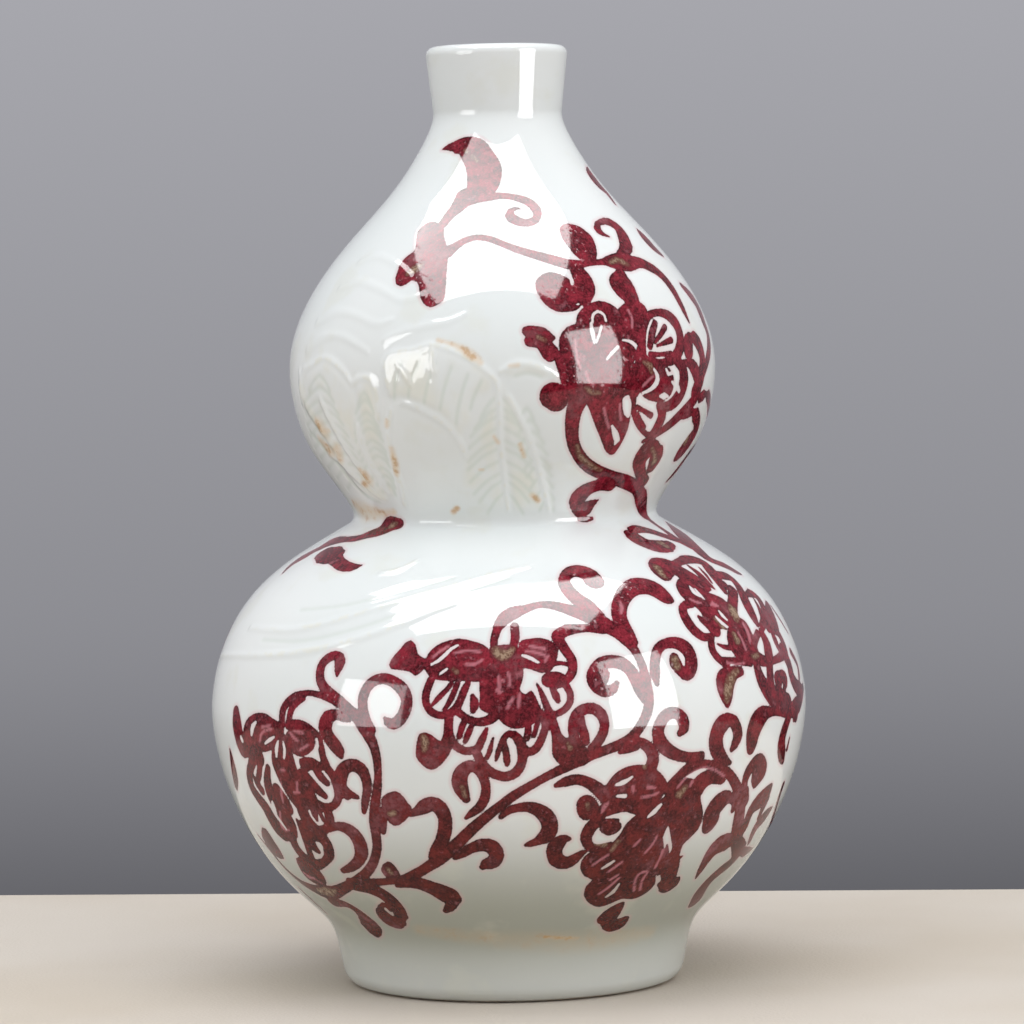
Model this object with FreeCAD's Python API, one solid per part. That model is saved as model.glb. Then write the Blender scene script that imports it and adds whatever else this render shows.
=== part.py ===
"""A double-gourd porcelain vase, in millimetres.

The origin is the centre of the foot's resting plane and +Z runs up the axis.
The body is thrown in sections that are luted together with slip: a foot ring, the
two halves of each bulb and the neck. A clear glaze covers the outside and the mouth,
the inside, and the hollow under the foot. The foot's resting edge stays bare.
"""

import FreeCAD, Part
import math
import os

# Heights, each above the one before it, from the resting plane up
foot_height = 12.0
lower_bowl_rise = 95.7
lower_shoulder_rise = 70.8
waist_cove_radius = 3.5
upper_bowl_rise = 56.1
upper_shoulder_rise = 98.4
neck_rise = 25.3

# Radii of the glazed outside
foot_radius = 66.4
foot_splay = 1.1
lower_bulb_radius = 115.1
waist_radius = 58.7
upper_bulb_radius = 82.3
neck_radius = 24.8
mouth_flare = 2.5

# The lip is a roll, with a small flat between its outer and its inner rounding
lip_radius = 3.2
inner_lip_radius = 2.6

# Porcelain walls, which thin from the foot to the neck, and the coats on them
lower_wall = 6.0
neck_wall = 4.0
outer_glaze_thickness = 0.4
inner_glaze_thickness = 0.35
slip_thickness = 0.8

# The foot is a ring with a hollow inside it, and the vase's floor lies above the hollow.
# Its outer edge is a broad rounding, and the glaze follows that down to this angle
foot_ring_width = 12.5
foot_edge_radius = 8.0
foot_glaze_angle = 55.0
foot_inner_edge_radius = 2.0
foot_hollow_depth = 15.0
foot_seam_height = 10.0
floor_thickness = 6.5
floor_rise = 2.4

# Shares of the foot's radius: where the floor stops being flat, and a point on its rise
floor_flat_share = 0.66
floor_rise_share = 0.87

# Angle of the lower shoulder below the horizontal where it leaves the waist
shoulder_angle = 30.0

# One curve draws each half of a bulb. Its shares are how far it runs on straight as it
# leaves and as it arrives, then two points that it bends towards. Each of those is given
# by a share of the half's rise and a share of its change in radius.
lower_bowl_shares = [(0.15, 0.28), (0.21, 0.02), (0.20, 0.65)]
lower_shoulder_shares = [(0.15, 0.12), (0.69, 0.09), (0.76, 0.48)]
upper_bowl_shares = [(0.12, 0.37), (0.48, 0.87), (0.44, 0.59)]
upper_shoulder_shares = [(0.41, 0.10), (0.69, 0.85), (0.60, 0.57)]

# Points on each half of a bulb that its inner faces follow, and how many the inside
# leaves out above the thick foot of the wall
points_per_half = 12
points_left_out = 4

# Places that follow from the sizes above
lower_belly_height = foot_height + lower_bowl_rise
shoulder_top = lower_belly_height + lower_shoulder_rise
cove_turn = math.radians(90.0 - shoulder_angle)
glaze_end_turn = math.radians(foot_glaze_angle)
waist_height = shoulder_top + waist_cove_radius * math.sin(cove_turn)
shoulder_top_radius = waist_radius + waist_cove_radius * (1 - math.cos(cove_turn))
upper_belly_height = waist_height + upper_bowl_rise
neck_root_height = upper_belly_height + upper_shoulder_rise
height = neck_root_height + neck_rise
mouth_radius = neck_radius + mouth_flare
foot_top_radius = foot_radius + foot_splay
foot_inner_radius = foot_radius - foot_ring_width
bore_radius = neck_radius - neck_wall - 2 * outer_glaze_thickness
floor_height = foot_hollow_depth + floor_thickness


def at(radius, z):
    """A point of the outline, which lies in the XZ plane."""
    return FreeCAD.Vector(radius, 0, z)


def line(start, end):
    return Part.LineSegment(start, end).toShape()


def arc(centre, radius, start, end):
    """An arc from one angle to another, in radians above the +X direction."""
    angles = (start, (start + end) / 2, end)
    points = [centre + at(radius * math.cos(a), radius * math.sin(a)) for a in angles]
    return Part.Arc(*points).toShape()


def half_bulb(low, high, leaving, arriving, shares):
    """The curve of half a bulb between two points, with its direction at each end."""
    leads, *bends = shares
    rise = high.z - low.z
    swell = high.x - low.x
    poles = [
        low,
        low + leaving * leads[0] * rise,
        *[at(low.x + out * swell, low.z + up * rise) for up, out in bends],
        high - arriving * leads[1] * rise,
        high,
    ]
    curve = Part.BezierCurve()
    curve.setPoles(poles)
    return curve


def sunk_points(curve, depth, first=0):
    """Points along a curve that runs upwards, moved into the wall by depth(point)."""
    points = []
    for step in range(first, points_per_half + 1):
        point = curve.value(step / points_per_half)
        along = curve.tangent(step / points_per_half)[0]
        points.append(point - at(along.z, -along.x) * depth(point))
    return points


def smooth(points):
    curve = Part.BSplineCurve()
    curve.interpolate(points)
    return curve.toShape()


def bulb_edges(halves, depth):
    """The outline of a bulb: its own two curves, or one edge that lies deeper."""
    if depth == 0:
        return [half.toShape() for half in halves]
    lower, upper = (sunk_points(half, lambda point: depth) for half in halves)
    return [smooth(lower + upper[1:])]


def ends(edges):
    """The lowest and the highest end of a run of edges."""
    points = [vertex.Point for edge in edges for vertex in edge.Vertexes]
    points.sort(key=lambda point: point.z)
    return points[0], points[-1]


# The lip's outer rounding, and the lean at which the neck's wall runs up to touch it
lip_centre = at(mouth_radius - lip_radius, height - lip_radius)
lip_from_root = lip_centre - at(neck_radius, neck_root_height)
lip_angle = math.asin(lip_radius / lip_from_root.Length)
neck_lean = lip_angle + math.atan2(lip_from_root.x, lip_from_root.z)

# The foot's outer rounding, and the lean at which the wall runs on from it
bare_edge_radius = foot_edge_radius - outer_glaze_thickness
foot_edge_centre = at(foot_radius - foot_edge_radius, bare_edge_radius)
foot_top = at(foot_top_radius, foot_height)
foot_from_edge = foot_top - foot_edge_centre
foot_angle = math.asin(foot_edge_radius / foot_from_edge.Length)
foot_lean = math.atan2(foot_from_edge.x, foot_from_edge.z) - foot_angle

# Directions in which the outline runs at the ends of its halves
upward = at(0, 1)
foot_direction = at(math.sin(foot_lean), math.cos(foot_lean))
shoulder_direction = at(-math.sin(cove_turn), math.cos(cove_turn))
neck_direction = at(math.sin(neck_lean), math.cos(neck_lean))

lower_belly = at(lower_bulb_radius, lower_belly_height)
lower_top = at(shoulder_top_radius, shoulder_top)
waist = at(waist_radius, waist_height)
upper_belly = at(upper_bulb_radius, upper_belly_height)
neck_root = at(neck_radius, neck_root_height)
cove_centre = at(waist_radius + waist_cove_radius, waist_height)

lower_halves = [
    half_bulb(foot_top, lower_belly, foot_direction, upward, lower_bowl_shares),
    half_bulb(lower_belly, lower_top, upward, shoulder_direction, lower_shoulder_shares),
]
upper_halves = [
    half_bulb(waist, upper_belly, upward, upward, upper_bowl_shares),
    half_bulb(upper_belly, neck_root, upward, neck_direction, upper_shoulder_shares),
]


def wall_depth(point):
    """How far the inside of the porcelain lies behind the glazed outside at a height."""
    share = (point.z - foot_height) / (neck_root_height - foot_height)
    return outer_glaze_thickness + lower_wall + share * (neck_wall - lower_wall)


def outside(depth):
    """Edges from the foot's rounding up over the lip and down the bore, sunk by a depth."""
    lower = bulb_edges(lower_halves, depth)
    upper = bulb_edges(upper_halves, depth)
    foot_roll = foot_edge_radius - depth
    foot_wall_start = foot_edge_centre + at(foot_direction.z, -foot_direction.x) * foot_roll
    cove = arc(cove_centre, waist_cove_radius + depth, math.pi + cove_turn, math.pi)
    roll = lip_radius - depth
    lip = arc(lip_centre, roll, -neck_lean, math.pi / 2)
    lip_start = lip_centre + at(neck_direction.z, -neck_direction.x) * roll
    inner_roll = inner_lip_radius - depth
    inner_centre = at(bore_radius + inner_lip_radius, height - inner_lip_radius)
    inner_lip = arc(inner_centre, inner_roll, math.pi / 2, math.pi)
    bore_top = inner_centre - at(inner_roll, 0)
    return [
        arc(foot_edge_centre, foot_roll, -glaze_end_turn, -foot_lean),
        line(foot_wall_start, ends(lower)[0]),
        *lower,
        cove,
        *upper,
        line(ends(upper)[1], lip_start),
        lip,
        line(lip_centre + at(0, roll), inner_centre + at(0, inner_roll)),
        inner_lip,
        line(bore_top, at(bore_radius + depth, neck_root_height)),
    ]


def inside(extra):
    """The edge from the floor up to the bore, and the flat of the floor."""

    def depth(point):
        return wall_depth(point) + extra

    floor = floor_height + extra
    flat_end = at(floor_flat_share * foot_radius, floor)
    cove_depth = waist_cove_radius + depth(cove_centre)
    cove_middle = math.pi + cove_turn / 2
    cove = at(math.cos(cove_middle), math.sin(cove_middle)) * cove_depth
    bore = at(bore_radius + outer_glaze_thickness - extra, neck_root_height)
    wall = [
        flat_end,
        at(floor_rise_share * foot_radius, floor + floor_rise),
        *sunk_points(lower_halves[0], depth, points_left_out),
        *sunk_points(lower_halves[1], depth, 1),
        cove_centre + cove,
        *sunk_points(upper_halves[0], depth),
        *sunk_points(upper_halves[1], depth, 1)[:-1],
        bore,
    ]
    return smooth(wall), line(at(0, floor), flat_end)


def turned(edges):
    """The solid that a closed outline sweeps round the axis, with its faces outward."""
    face = Part.Face(Part.Wire(Part.__sortEdges__(edges)))
    solid = face.revolve(at(0, 0), upward, 360)
    if solid.Volume < 0:
        solid.reverse()
    return solid


def whole_body():
    """The porcelain of every section in one piece, before it is parted at the seams."""
    wall, floor = inside(0)
    inner_edge = at(foot_inner_radius + foot_inner_edge_radius, foot_inner_edge_radius)
    hollow_corner = at(foot_inner_radius, foot_hollow_depth)
    return turned(
        [
            *outside(outer_glaze_thickness),
            wall,
            floor,
            line(at(0, floor_height), at(0, foot_hollow_depth)),
            line(at(0, foot_hollow_depth), hollow_corner),
            line(hollow_corner, at(foot_inner_radius, foot_inner_edge_radius)),
            arc(inner_edge, foot_inner_edge_radius, -math.pi, -math.pi / 2),
            line(at(inner_edge.x, 0), at(foot_edge_centre.x, 0)),
            arc(foot_edge_centre, bare_edge_radius, -math.pi / 2, -glaze_end_turn),
        ]
    )


def between_heights(solid, low, high):
    """The part of a solid that lies between two level planes."""
    reach = 2 * (lower_bulb_radius + upper_bulb_radius)
    return solid.common(Part.makeCylinder(reach, high - low, at(0, low)))


def outer_glaze():
    """The coat over the outside, the lip and the neck's bore, down to the bare foot edge."""
    face = outside(0)
    back = outside(outer_glaze_thickness)
    foot_cap = line(ends(face[:1])[0], ends(back[:1])[0])
    bore_cap = line(ends(face[-1:])[0], ends(back[-1:])[0])
    return turned([*face, *back, foot_cap, bore_cap])


def inner_glaze():
    """The coat over the inside of both bulbs and the floor, up to the neck's bore."""
    wall, floor = inside(0)
    face_wall, face_floor = inside(inner_glaze_thickness)
    cap = line(ends([wall])[1], ends([face_wall])[1])
    axis = line(at(0, floor_height), at(0, floor_height + inner_glaze_thickness))
    return turned([wall, floor, face_wall, face_floor, cap, axis])


def base_glaze():
    """The coat in the hollow under the foot, which stops above the bare resting edge."""
    face_radius = foot_inner_radius - outer_glaze_thickness
    ceiling = foot_hollow_depth - outer_glaze_thickness
    corners = [
        at(0, ceiling),
        at(face_radius, ceiling),
        at(face_radius, foot_inner_edge_radius),
        at(foot_inner_radius, foot_inner_edge_radius),
        at(foot_inner_radius, foot_hollow_depth),
        at(0, foot_hollow_depth),
    ]
    return turned([line(a, b) for a, b in zip(corners, corners[1:] + corners[:1])])


def sections():
    """The luted sections from the foot up, and the ring of slip in each seam between them."""
    body = whole_body()
    half_slip = slip_thickness / 2
    seams = {
        "foot_slip": foot_seam_height,
        "lower_belly_slip": lower_belly_height,
        "waist_slip": waist_height,
        "upper_belly_slip": upper_belly_height,
        "neck_slip": neck_root_height - slip_thickness,
    }
    names = [
        "foot_ring",
        "lower_bulb_bowl",
        "lower_bulb_shoulder",
        "upper_bulb_bowl",
        "upper_bulb_shoulder",
        "neck_collar",
    ]
    lows = [0, *[z + half_slip for z in seams.values()]]
    highs = [*[z - half_slip for z in seams.values()], height]
    made = {}
    for name, low, high in zip(names, lows, highs):
        made[name] = between_heights(body, low, high)
    for name, z in seams.items():
        made[name] = between_heights(body, z - half_slip, z + half_slip)
    return made


def main():
    os.makedirs("parts", exist_ok=True)
    made = sections()
    made["outer_glaze"] = outer_glaze()
    made["inner_glaze"] = inner_glaze()
    made["base_glaze"] = base_glaze()
    for name, shape in made.items():
        print(name, shape.isValid(), len(shape.Solids), round(shape.Volume, 1))
        shape.exportStep(f"parts/{name}.step")


main()
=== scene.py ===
"""A double-gourd porcelain vase with copper-red painting and a carved panel of leaves."""

import math

import bpy
import numpy as np
from mathutils import Matrix, Vector


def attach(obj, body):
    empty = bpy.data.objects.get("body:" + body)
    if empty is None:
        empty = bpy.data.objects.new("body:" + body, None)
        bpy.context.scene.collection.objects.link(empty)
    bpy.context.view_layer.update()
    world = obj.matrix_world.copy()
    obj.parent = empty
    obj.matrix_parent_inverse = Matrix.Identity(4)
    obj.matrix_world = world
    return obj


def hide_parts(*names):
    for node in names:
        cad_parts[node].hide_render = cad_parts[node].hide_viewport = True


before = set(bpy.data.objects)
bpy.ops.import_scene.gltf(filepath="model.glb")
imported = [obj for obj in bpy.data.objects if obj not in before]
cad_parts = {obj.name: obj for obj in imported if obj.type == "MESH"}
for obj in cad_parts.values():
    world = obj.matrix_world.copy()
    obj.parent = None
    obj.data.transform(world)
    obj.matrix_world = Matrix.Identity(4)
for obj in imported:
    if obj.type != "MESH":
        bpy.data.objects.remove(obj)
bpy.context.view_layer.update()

# The camera stands a little above the middle of the vase and looks slightly down at it.
# It is held a degree out of level, so the vase leans to the left in the picture.
photo_size = 1024
sensor_width_mm = 36.0
lens_mm = 157.0
camera_distance_mm = 1728.0
camera_height_mm = 270.0
camera_aside_mm = 2.66
camera_pitch = math.radians(2.93)
camera_roll = math.radians(1.1)
metres_per_mm = 0.001

photo_centre = photo_size / 2
focus_pixels = lens_mm / sensor_width_mm * photo_size
eye_mm = np.array((camera_aside_mm, -camera_distance_mm, camera_height_mm))
ahead = np.array((0, math.cos(camera_pitch), -math.sin(camera_pitch)))
level_right = np.array((1, 0, 0))
level_up = np.array((0, math.sin(camera_pitch), math.cos(camera_pitch)))
picture_right = math.cos(camera_roll) * level_right - math.sin(camera_roll) * level_up
picture_up = math.sin(camera_roll) * level_right + math.cos(camera_roll) * level_up

camera_data = bpy.data.cameras.new("camera")
camera_data.lens = lens_mm
camera_data.sensor_width = sensor_width_mm
camera = bpy.data.objects.new("camera", camera_data)
bpy.context.scene.collection.objects.link(camera)
axes = Matrix([picture_right, picture_up, -ahead]).transposed()
camera.matrix_world = Matrix.Translation(Vector(eye_mm * metres_per_mm)) @ axes.to_4x4()
bpy.context.scene.camera = camera


# The outer glaze is a clear coat over the whole outside, over the lip and down the bore
# of the neck, where it ends. It stops above the bare edge of the foot. The painting lies
# in it, and it follows the carving, so it is made as one fine net of points.
foot_radius_mm = 66.4
foot_splay_mm = 1.1
foot_height_mm = 12.0
foot_edge_radius_mm = 8.0
foot_glaze_turn = math.radians(55.0)
lower_bulb_radius_mm = 115.1
lower_belly_height_mm = 107.7
shoulder_top_mm = 178.5
shoulder_angle = math.radians(30.0)
waist_radius_mm = 58.7
waist_cove_radius_mm = 3.5
upper_bulb_radius_mm = 82.3
upper_bowl_rise_mm = 56.1
upper_shoulder_rise_mm = 98.4
neck_rise_mm = 25.3
neck_radius_mm = 24.8
mouth_radius_mm = 27.3
lip_radius_mm = 3.2
inner_lip_radius_mm = 2.6
bore_radius_mm = 20.0
glaze_thickness_mm = 0.4

# Each half of a bulb is one curve. Its shares are how far it runs straight at each end,
# then two points that it bends towards, as shares of its rise and its change in radius.
lower_bowl_shares = ((0.15, 0.28), (0.21, 0.02), (0.20, 0.65))
lower_shoulder_shares = ((0.15, 0.12), (0.69, 0.09), (0.76, 0.48))
upper_bowl_shares = ((0.12, 0.37), (0.48, 0.87), (0.44, 0.59))
upper_shoulder_shares = ((0.41, 0.10), (0.69, 0.85), (0.60, 0.57))

cove_turn = math.pi / 2 - shoulder_angle
waist_height_mm = shoulder_top_mm + waist_cove_radius_mm * math.sin(cove_turn)
shoulder_top_radius_mm = waist_radius_mm + waist_cove_radius_mm * (1 - math.cos(cove_turn))
upper_belly_height_mm = waist_height_mm + upper_bowl_rise_mm
neck_root_height_mm = upper_belly_height_mm + upper_shoulder_rise_mm
height_mm = neck_root_height_mm + neck_rise_mm


def at(radius, z):
    """A point of the outline, as its radius and its height."""
    return np.array((radius, z), dtype=float)


def spaced(points, spacing):
    """Points along a line of points, as near to the spacing as whole steps allow."""
    length = np.r_[0, np.cumsum(np.hypot(*np.diff(points, axis=0).T))]
    places = np.linspace(0, length[-1], max(2, round(length[-1] / spacing) + 1))
    return np.stack([np.interp(places, length, line) for line in points.T], axis=1)


def half_bulb(low, high, leaving, arriving, shares):
    """Half a bulb's curve between two points, with its direction at each end."""
    leads, *bends = shares
    rise = high[1] - low[1]
    swell = high[0] - low[0]
    poles = np.array(
        [
            low,
            low + leaving * leads[0] * rise,
            *[at(low[0] + out * swell, low[1] + up * rise) for up, out in bends],
            high - arriving * leads[1] * rise,
            high,
        ]
    )
    steps = np.linspace(0, 1, curve_steps)[:, None]
    order = len(poles) - 1
    return sum(
        math.comb(order, i) * steps**i * (1 - steps) ** (order - i) * pole
        for i, pole in enumerate(poles)
    )


def arc(centre, radius, start, end):
    angles = np.linspace(start, end, curve_steps)[:, None]
    return centre + radius * np.concatenate([np.cos(angles), np.sin(angles)], axis=1)


curve_steps = 400
row_spacing_mm = 0.7
fine_spacing_mm = 0.4
bore_spacing_mm = 1.5

lip_centre = at(mouth_radius_mm - lip_radius_mm, height_mm - lip_radius_mm)
lip_from_root = lip_centre - at(neck_radius_mm, neck_root_height_mm)
lip_angle = math.asin(lip_radius_mm / np.linalg.norm(lip_from_root))
neck_lean = lip_angle + math.atan2(lip_from_root[0], lip_from_root[1])
upward = at(0, 1)
shoulder_direction = at(-math.sin(cove_turn), math.cos(cove_turn))
neck_direction = at(math.sin(neck_lean), math.cos(neck_lean))
foot_top = at(foot_radius_mm + foot_splay_mm, foot_height_mm)
foot_edge_centre = at(
    foot_radius_mm - foot_edge_radius_mm, foot_edge_radius_mm - glaze_thickness_mm
)
foot_from_edge = foot_top - foot_edge_centre
foot_angle = math.asin(foot_edge_radius_mm / np.linalg.norm(foot_from_edge))
foot_lean = math.atan2(foot_from_edge[0], foot_from_edge[1]) - foot_angle
foot_direction = at(math.sin(foot_lean), math.cos(foot_lean))
lower_belly = at(lower_bulb_radius_mm, lower_belly_height_mm)
lower_top = at(shoulder_top_radius_mm, shoulder_top_mm)
waist = at(waist_radius_mm, waist_height_mm)
upper_belly = at(upper_bulb_radius_mm, upper_belly_height_mm)
neck_root = at(neck_radius_mm, neck_root_height_mm)
cove_centre = at(waist_radius_mm + waist_cove_radius_mm, waist_height_mm)
inner_lip_centre = at(bore_radius_mm + inner_lip_radius_mm, height_mm - inner_lip_radius_mm)
lip_start = lip_centre + at(neck_direction[1], -neck_direction[0]) * lip_radius_mm

foot_edge = arc(foot_edge_centre, foot_edge_radius_mm, -foot_glaze_turn, -foot_lean)
foot_side = np.array([foot_edge[-1], foot_top])
lower_bowl = half_bulb(foot_top, lower_belly, foot_direction, upward, lower_bowl_shares)
lower_shoulder = half_bulb(
    lower_belly, lower_top, upward, shoulder_direction, lower_shoulder_shares
)
cove = arc(cove_centre, waist_cove_radius_mm, math.pi + cove_turn, math.pi)
upper_bowl = half_bulb(waist, upper_belly, upward, upward, upper_bowl_shares)
upper_shoulder = half_bulb(
    upper_belly, neck_root, upward, neck_direction, upper_shoulder_shares
)
neck = np.array([neck_root, lip_start])
outer_lip = arc(lip_centre, lip_radius_mm, -neck_lean, math.pi / 2)
lip_top = lip_centre + at(0, lip_radius_mm)
inner_lip_top = inner_lip_centre + at(0, inner_lip_radius_mm)
inner_lip = arc(inner_lip_centre, inner_lip_radius_mm, math.pi / 2, math.pi)
bore_top = at(bore_radius_mm, height_mm - inner_lip_radius_mm)
bore_foot = at(bore_radius_mm, neck_root_height_mm)
outline = [
    (foot_edge, fine_spacing_mm),
    (foot_side, row_spacing_mm),
    (lower_bowl, row_spacing_mm),
    (lower_shoulder, row_spacing_mm),
    (cove, fine_spacing_mm),
    (upper_bowl, row_spacing_mm),
    (upper_shoulder, row_spacing_mm),
    (neck, row_spacing_mm),
    (outer_lip, fine_spacing_mm),
    (np.array([lip_top, inner_lip_top]), fine_spacing_mm),
    (inner_lip, fine_spacing_mm),
    (np.array([bore_top, bore_foot]), bore_spacing_mm),
]
rows = [spaced(line, spacing)[:-1] for line, spacing in outline]
rows.append(outline[-1][0][-1:])
rows = np.concatenate(rows)
row_radius, row_height = rows.T
row_run = np.r_[0, np.cumsum(np.hypot(*np.diff(rows, axis=0).T))]
row_along = np.gradient(rows, axis=0)
row_along /= np.linalg.norm(row_along, axis=1)[:, None]
row_outward = np.stack([row_along[:, 1], -row_along[:, 0]], axis=1)

column_count = 1008
row_count = len(rows)
column_angle = (np.arange(column_count) / column_count - 0.5) * 2 * math.pi

# The brush strokes were placed on the picture of the vase. A point there is laid on the
# surface along its line of sight, as an angle round the axis and a run along the outline.
outside_rows = row_height[: np.argmax(row_height)]
outside_radius = row_radius[: len(outside_rows)]
outside_run = row_run[: len(outside_rows)]
sight_spare_mm = 10
sight_near_mm = camera_distance_mm - lower_bulb_radius_mm - sight_spare_mm
sight_far_mm = camera_distance_mm + sight_spare_mm
sight_steps = 500
sight_halvings = 14


def laid_on(pixels):
    """Angle and run on the surface for each pixel, or for its nearest pass at the limb."""
    across = (pixels[:, :1] - photo_centre) / focus_pixels
    down = (pixels[:, 1:2] - photo_centre) / focus_pixels
    sight = ahead + across * picture_right - down * picture_up

    def gap(reach):
        point = eye_mm + reach[..., None] * sight[:, None, :]
        radius = np.interp(point[..., 2], outside_rows, outside_radius)
        return np.hypot(point[..., 0], point[..., 1]) - radius

    reaches = np.linspace(sight_near_mm, sight_far_mm, sight_steps)
    gaps = gap(np.broadcast_to(reaches, (len(pixels), sight_steps)))
    inside = gaps < 0
    hit = np.where(inside.any(axis=1), inside.argmax(axis=1), gaps.argmin(axis=1))
    low = reaches[np.maximum(hit - 1, 0)][:, None]
    high = reaches[hit][:, None]
    for _ in range(sight_halvings):
        middle = (low + high) / 2
        within = gap(middle) < 0
        high = np.where(within, middle, high)
        low = np.where(within, low, middle)
    found = np.where(inside.any(axis=1)[:, None], high, reaches[hit][:, None])
    point = eye_mm + found * sight
    angle = np.arctan2(point[:, 0], -point[:, 1])
    return angle, np.interp(point[:, 2], outside_rows, outside_run)


def smoothed(points, closed=False, step_pixels=4.0):
    """Points at even steps along a smooth line through the given ones."""
    p = np.array(points, dtype=float)
    if closed:
        p = np.concatenate([p[-1:], p, p[:2]])
    else:
        p = np.concatenate([2 * p[:1] - p[1:2], p, 2 * p[-1:] - p[-2:-1]])
    line = []
    for a, b, c, d in zip(p, p[1:], p[2:], p[3:]):
        count = max(1, round(np.hypot(*(c - b)[:2]) / step_pixels))
        t = (np.arange(count) / count)[:, None]
        bend = (2 * a - 5 * b + 4 * c - d) * t**2 + (3 * b - a - 3 * c + d) * t**3
        line.append(b + ((c - a) * t + bend) / 2)
    if not closed:
        line.append(p[-2:-1])
    return np.concatenate(line)


# The painting, as strokes of (x, y, half width) in pixels. Ink lays pigment down and fill
# lays it inside an outline. Bare and clear lift it off again, thin leaves it pale, and
# core is where it pooled and turned grey-green.
upper_leaf = [
    ("fill", [(447, 148), (456, 143), (464, 139), (472, 137), (480, 138), (487, 143),
              (492, 150), (499, 160), (502, 170), (501, 180), (497, 190), (488, 198),
              (475, 204), (466, 206), (458, 203), (460, 196), (466, 190), (467, 180),
              (466, 170), (462, 160), (459, 154), (455, 154), (452, 151)]),
    ("ink", [(442, 149.5, .6), (449, 147, 3), (456, 146, 5), (464, 141.5, 4), (472, 140.5, 4)]),
    ("ink", [(466, 197, 9), (458, 207, 6), (450, 215, 4.5), (443, 224, 4)]),
    ("ink", [(478, 199, 4), (490, 197, 4), (500, 195.8, 3.4), (512, 196.8, 3.2), (524, 200, 3.8),
             (533, 205.5, 4.2), (537.5, 213, 4.4), (535, 220, 4), (527, 222.8, 3.8),
             (517, 221, 4.5), (510, 216, 5), (510.5, 211, 3.2), (515, 208.5, 1.8), (521, 208.8, .6)]),
    ("core", [(465, 150, 2), (468, 153, 2)]),
    ("core", [(472, 156, 2), (477, 161, 2)]),
    ("fill", [(432, 221.5), (425, 224), (418, 231), (416, 240), (415, 250), (410, 254),
              (403, 260), (398, 270), (395, 279), (396, 284), (400, 286.5), (406, 284.5),
              (412, 280.5), (417, 282), (419, 287), (420, 295), (423, 303), (430, 307.5),
              (437, 305), (443, 301), (445, 297), (446, 285), (447, 270), (448, 256),
              (447, 246), (444, 235), (444, 228), (438, 223)]),
    ("core", [(408, 274, 2), (415, 269, 4), (422, 264, 2)]),
]
upper_stem = [
    ("ink", [(447, 252, 6), (455, 246.5, 4), (465, 240.5, 3.3), (477, 237.5, 3), (490, 239, 3.2),
             (503, 244, 3.2), (516, 249, 3.6), (532, 254, 4), (546, 258, 4.6), (560, 262, 5),
             (568, 264, 5), (580, 264, 4), (590, 263, 3), (603, 262, 3.2), (614, 262, 6.5),
             (625, 262, 8), (633, 262, 5.5), (640, 262.5, 4), (646, 265, 3.4), (655, 270, 3.2),
             (664, 278, 3), (671, 287, 3), (677, 297, 2.6), (683, 309, 2.2), (689, 322, .8)]),
    ("core", [(610, 263, 2), (618, 260, 3), (627, 264, 2)]),
    ("ink", [(545, 284, 7), (554, 288, 15.5), (562, 291, 13.5), (569, 293, 11.5)]),
    ("ink", [(541, 298, 1), (548, 303, 3), (557, 308, 3.5), (565, 309, 3), (574, 308, 3), (580, 306, 1)]),
    ("ink", [(573, 263, 3.5), (577, 270, 6), (583, 280, 8.5), (586, 290, 9), (584, 300, 7)]),
    ("bare", [(569, 272, .6), (571, 280, 1.1), (572, 284, .6)]),
    ("ink", [(588, 259, 6), (584, 250, 10.5), (579, 240, 12), (572, 233, 8.5), (566, 231, 4)]),
    ("ink", [(622, 256, 6.5), (626, 247, 5.5), (624, 238, 4), (619, 229, 3.4), (611, 223, 3.2),
             (603, 221.5, 2.6), (597.5, 223.5, 3.2), (597.5, 229, 3), (602, 233.5, 2), (609, 236.5, .8)]),
    ("ink", [(621, 274, 5), (622, 285, 10), (628, 293, 8), (632, 301, 7), (633, 308, 6)]),
    ("ink", [(588, 168, 1), (592, 176, 4), (599, 185, 4), (606, 192, 2.5), (615, 204, 1)]),
    ("ink", [(638, 230, 1), (645, 238, 4), (652, 246, 4), (662, 255, 1.5)]),
    ("ink", [(682, 286, 2), (690, 295, 4), (697, 305, 5), (703, 320, 4), (708, 335, 3),
             (709, 350, 3), (706, 365, 2.5), (702, 380, 1.5)]),
]
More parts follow.
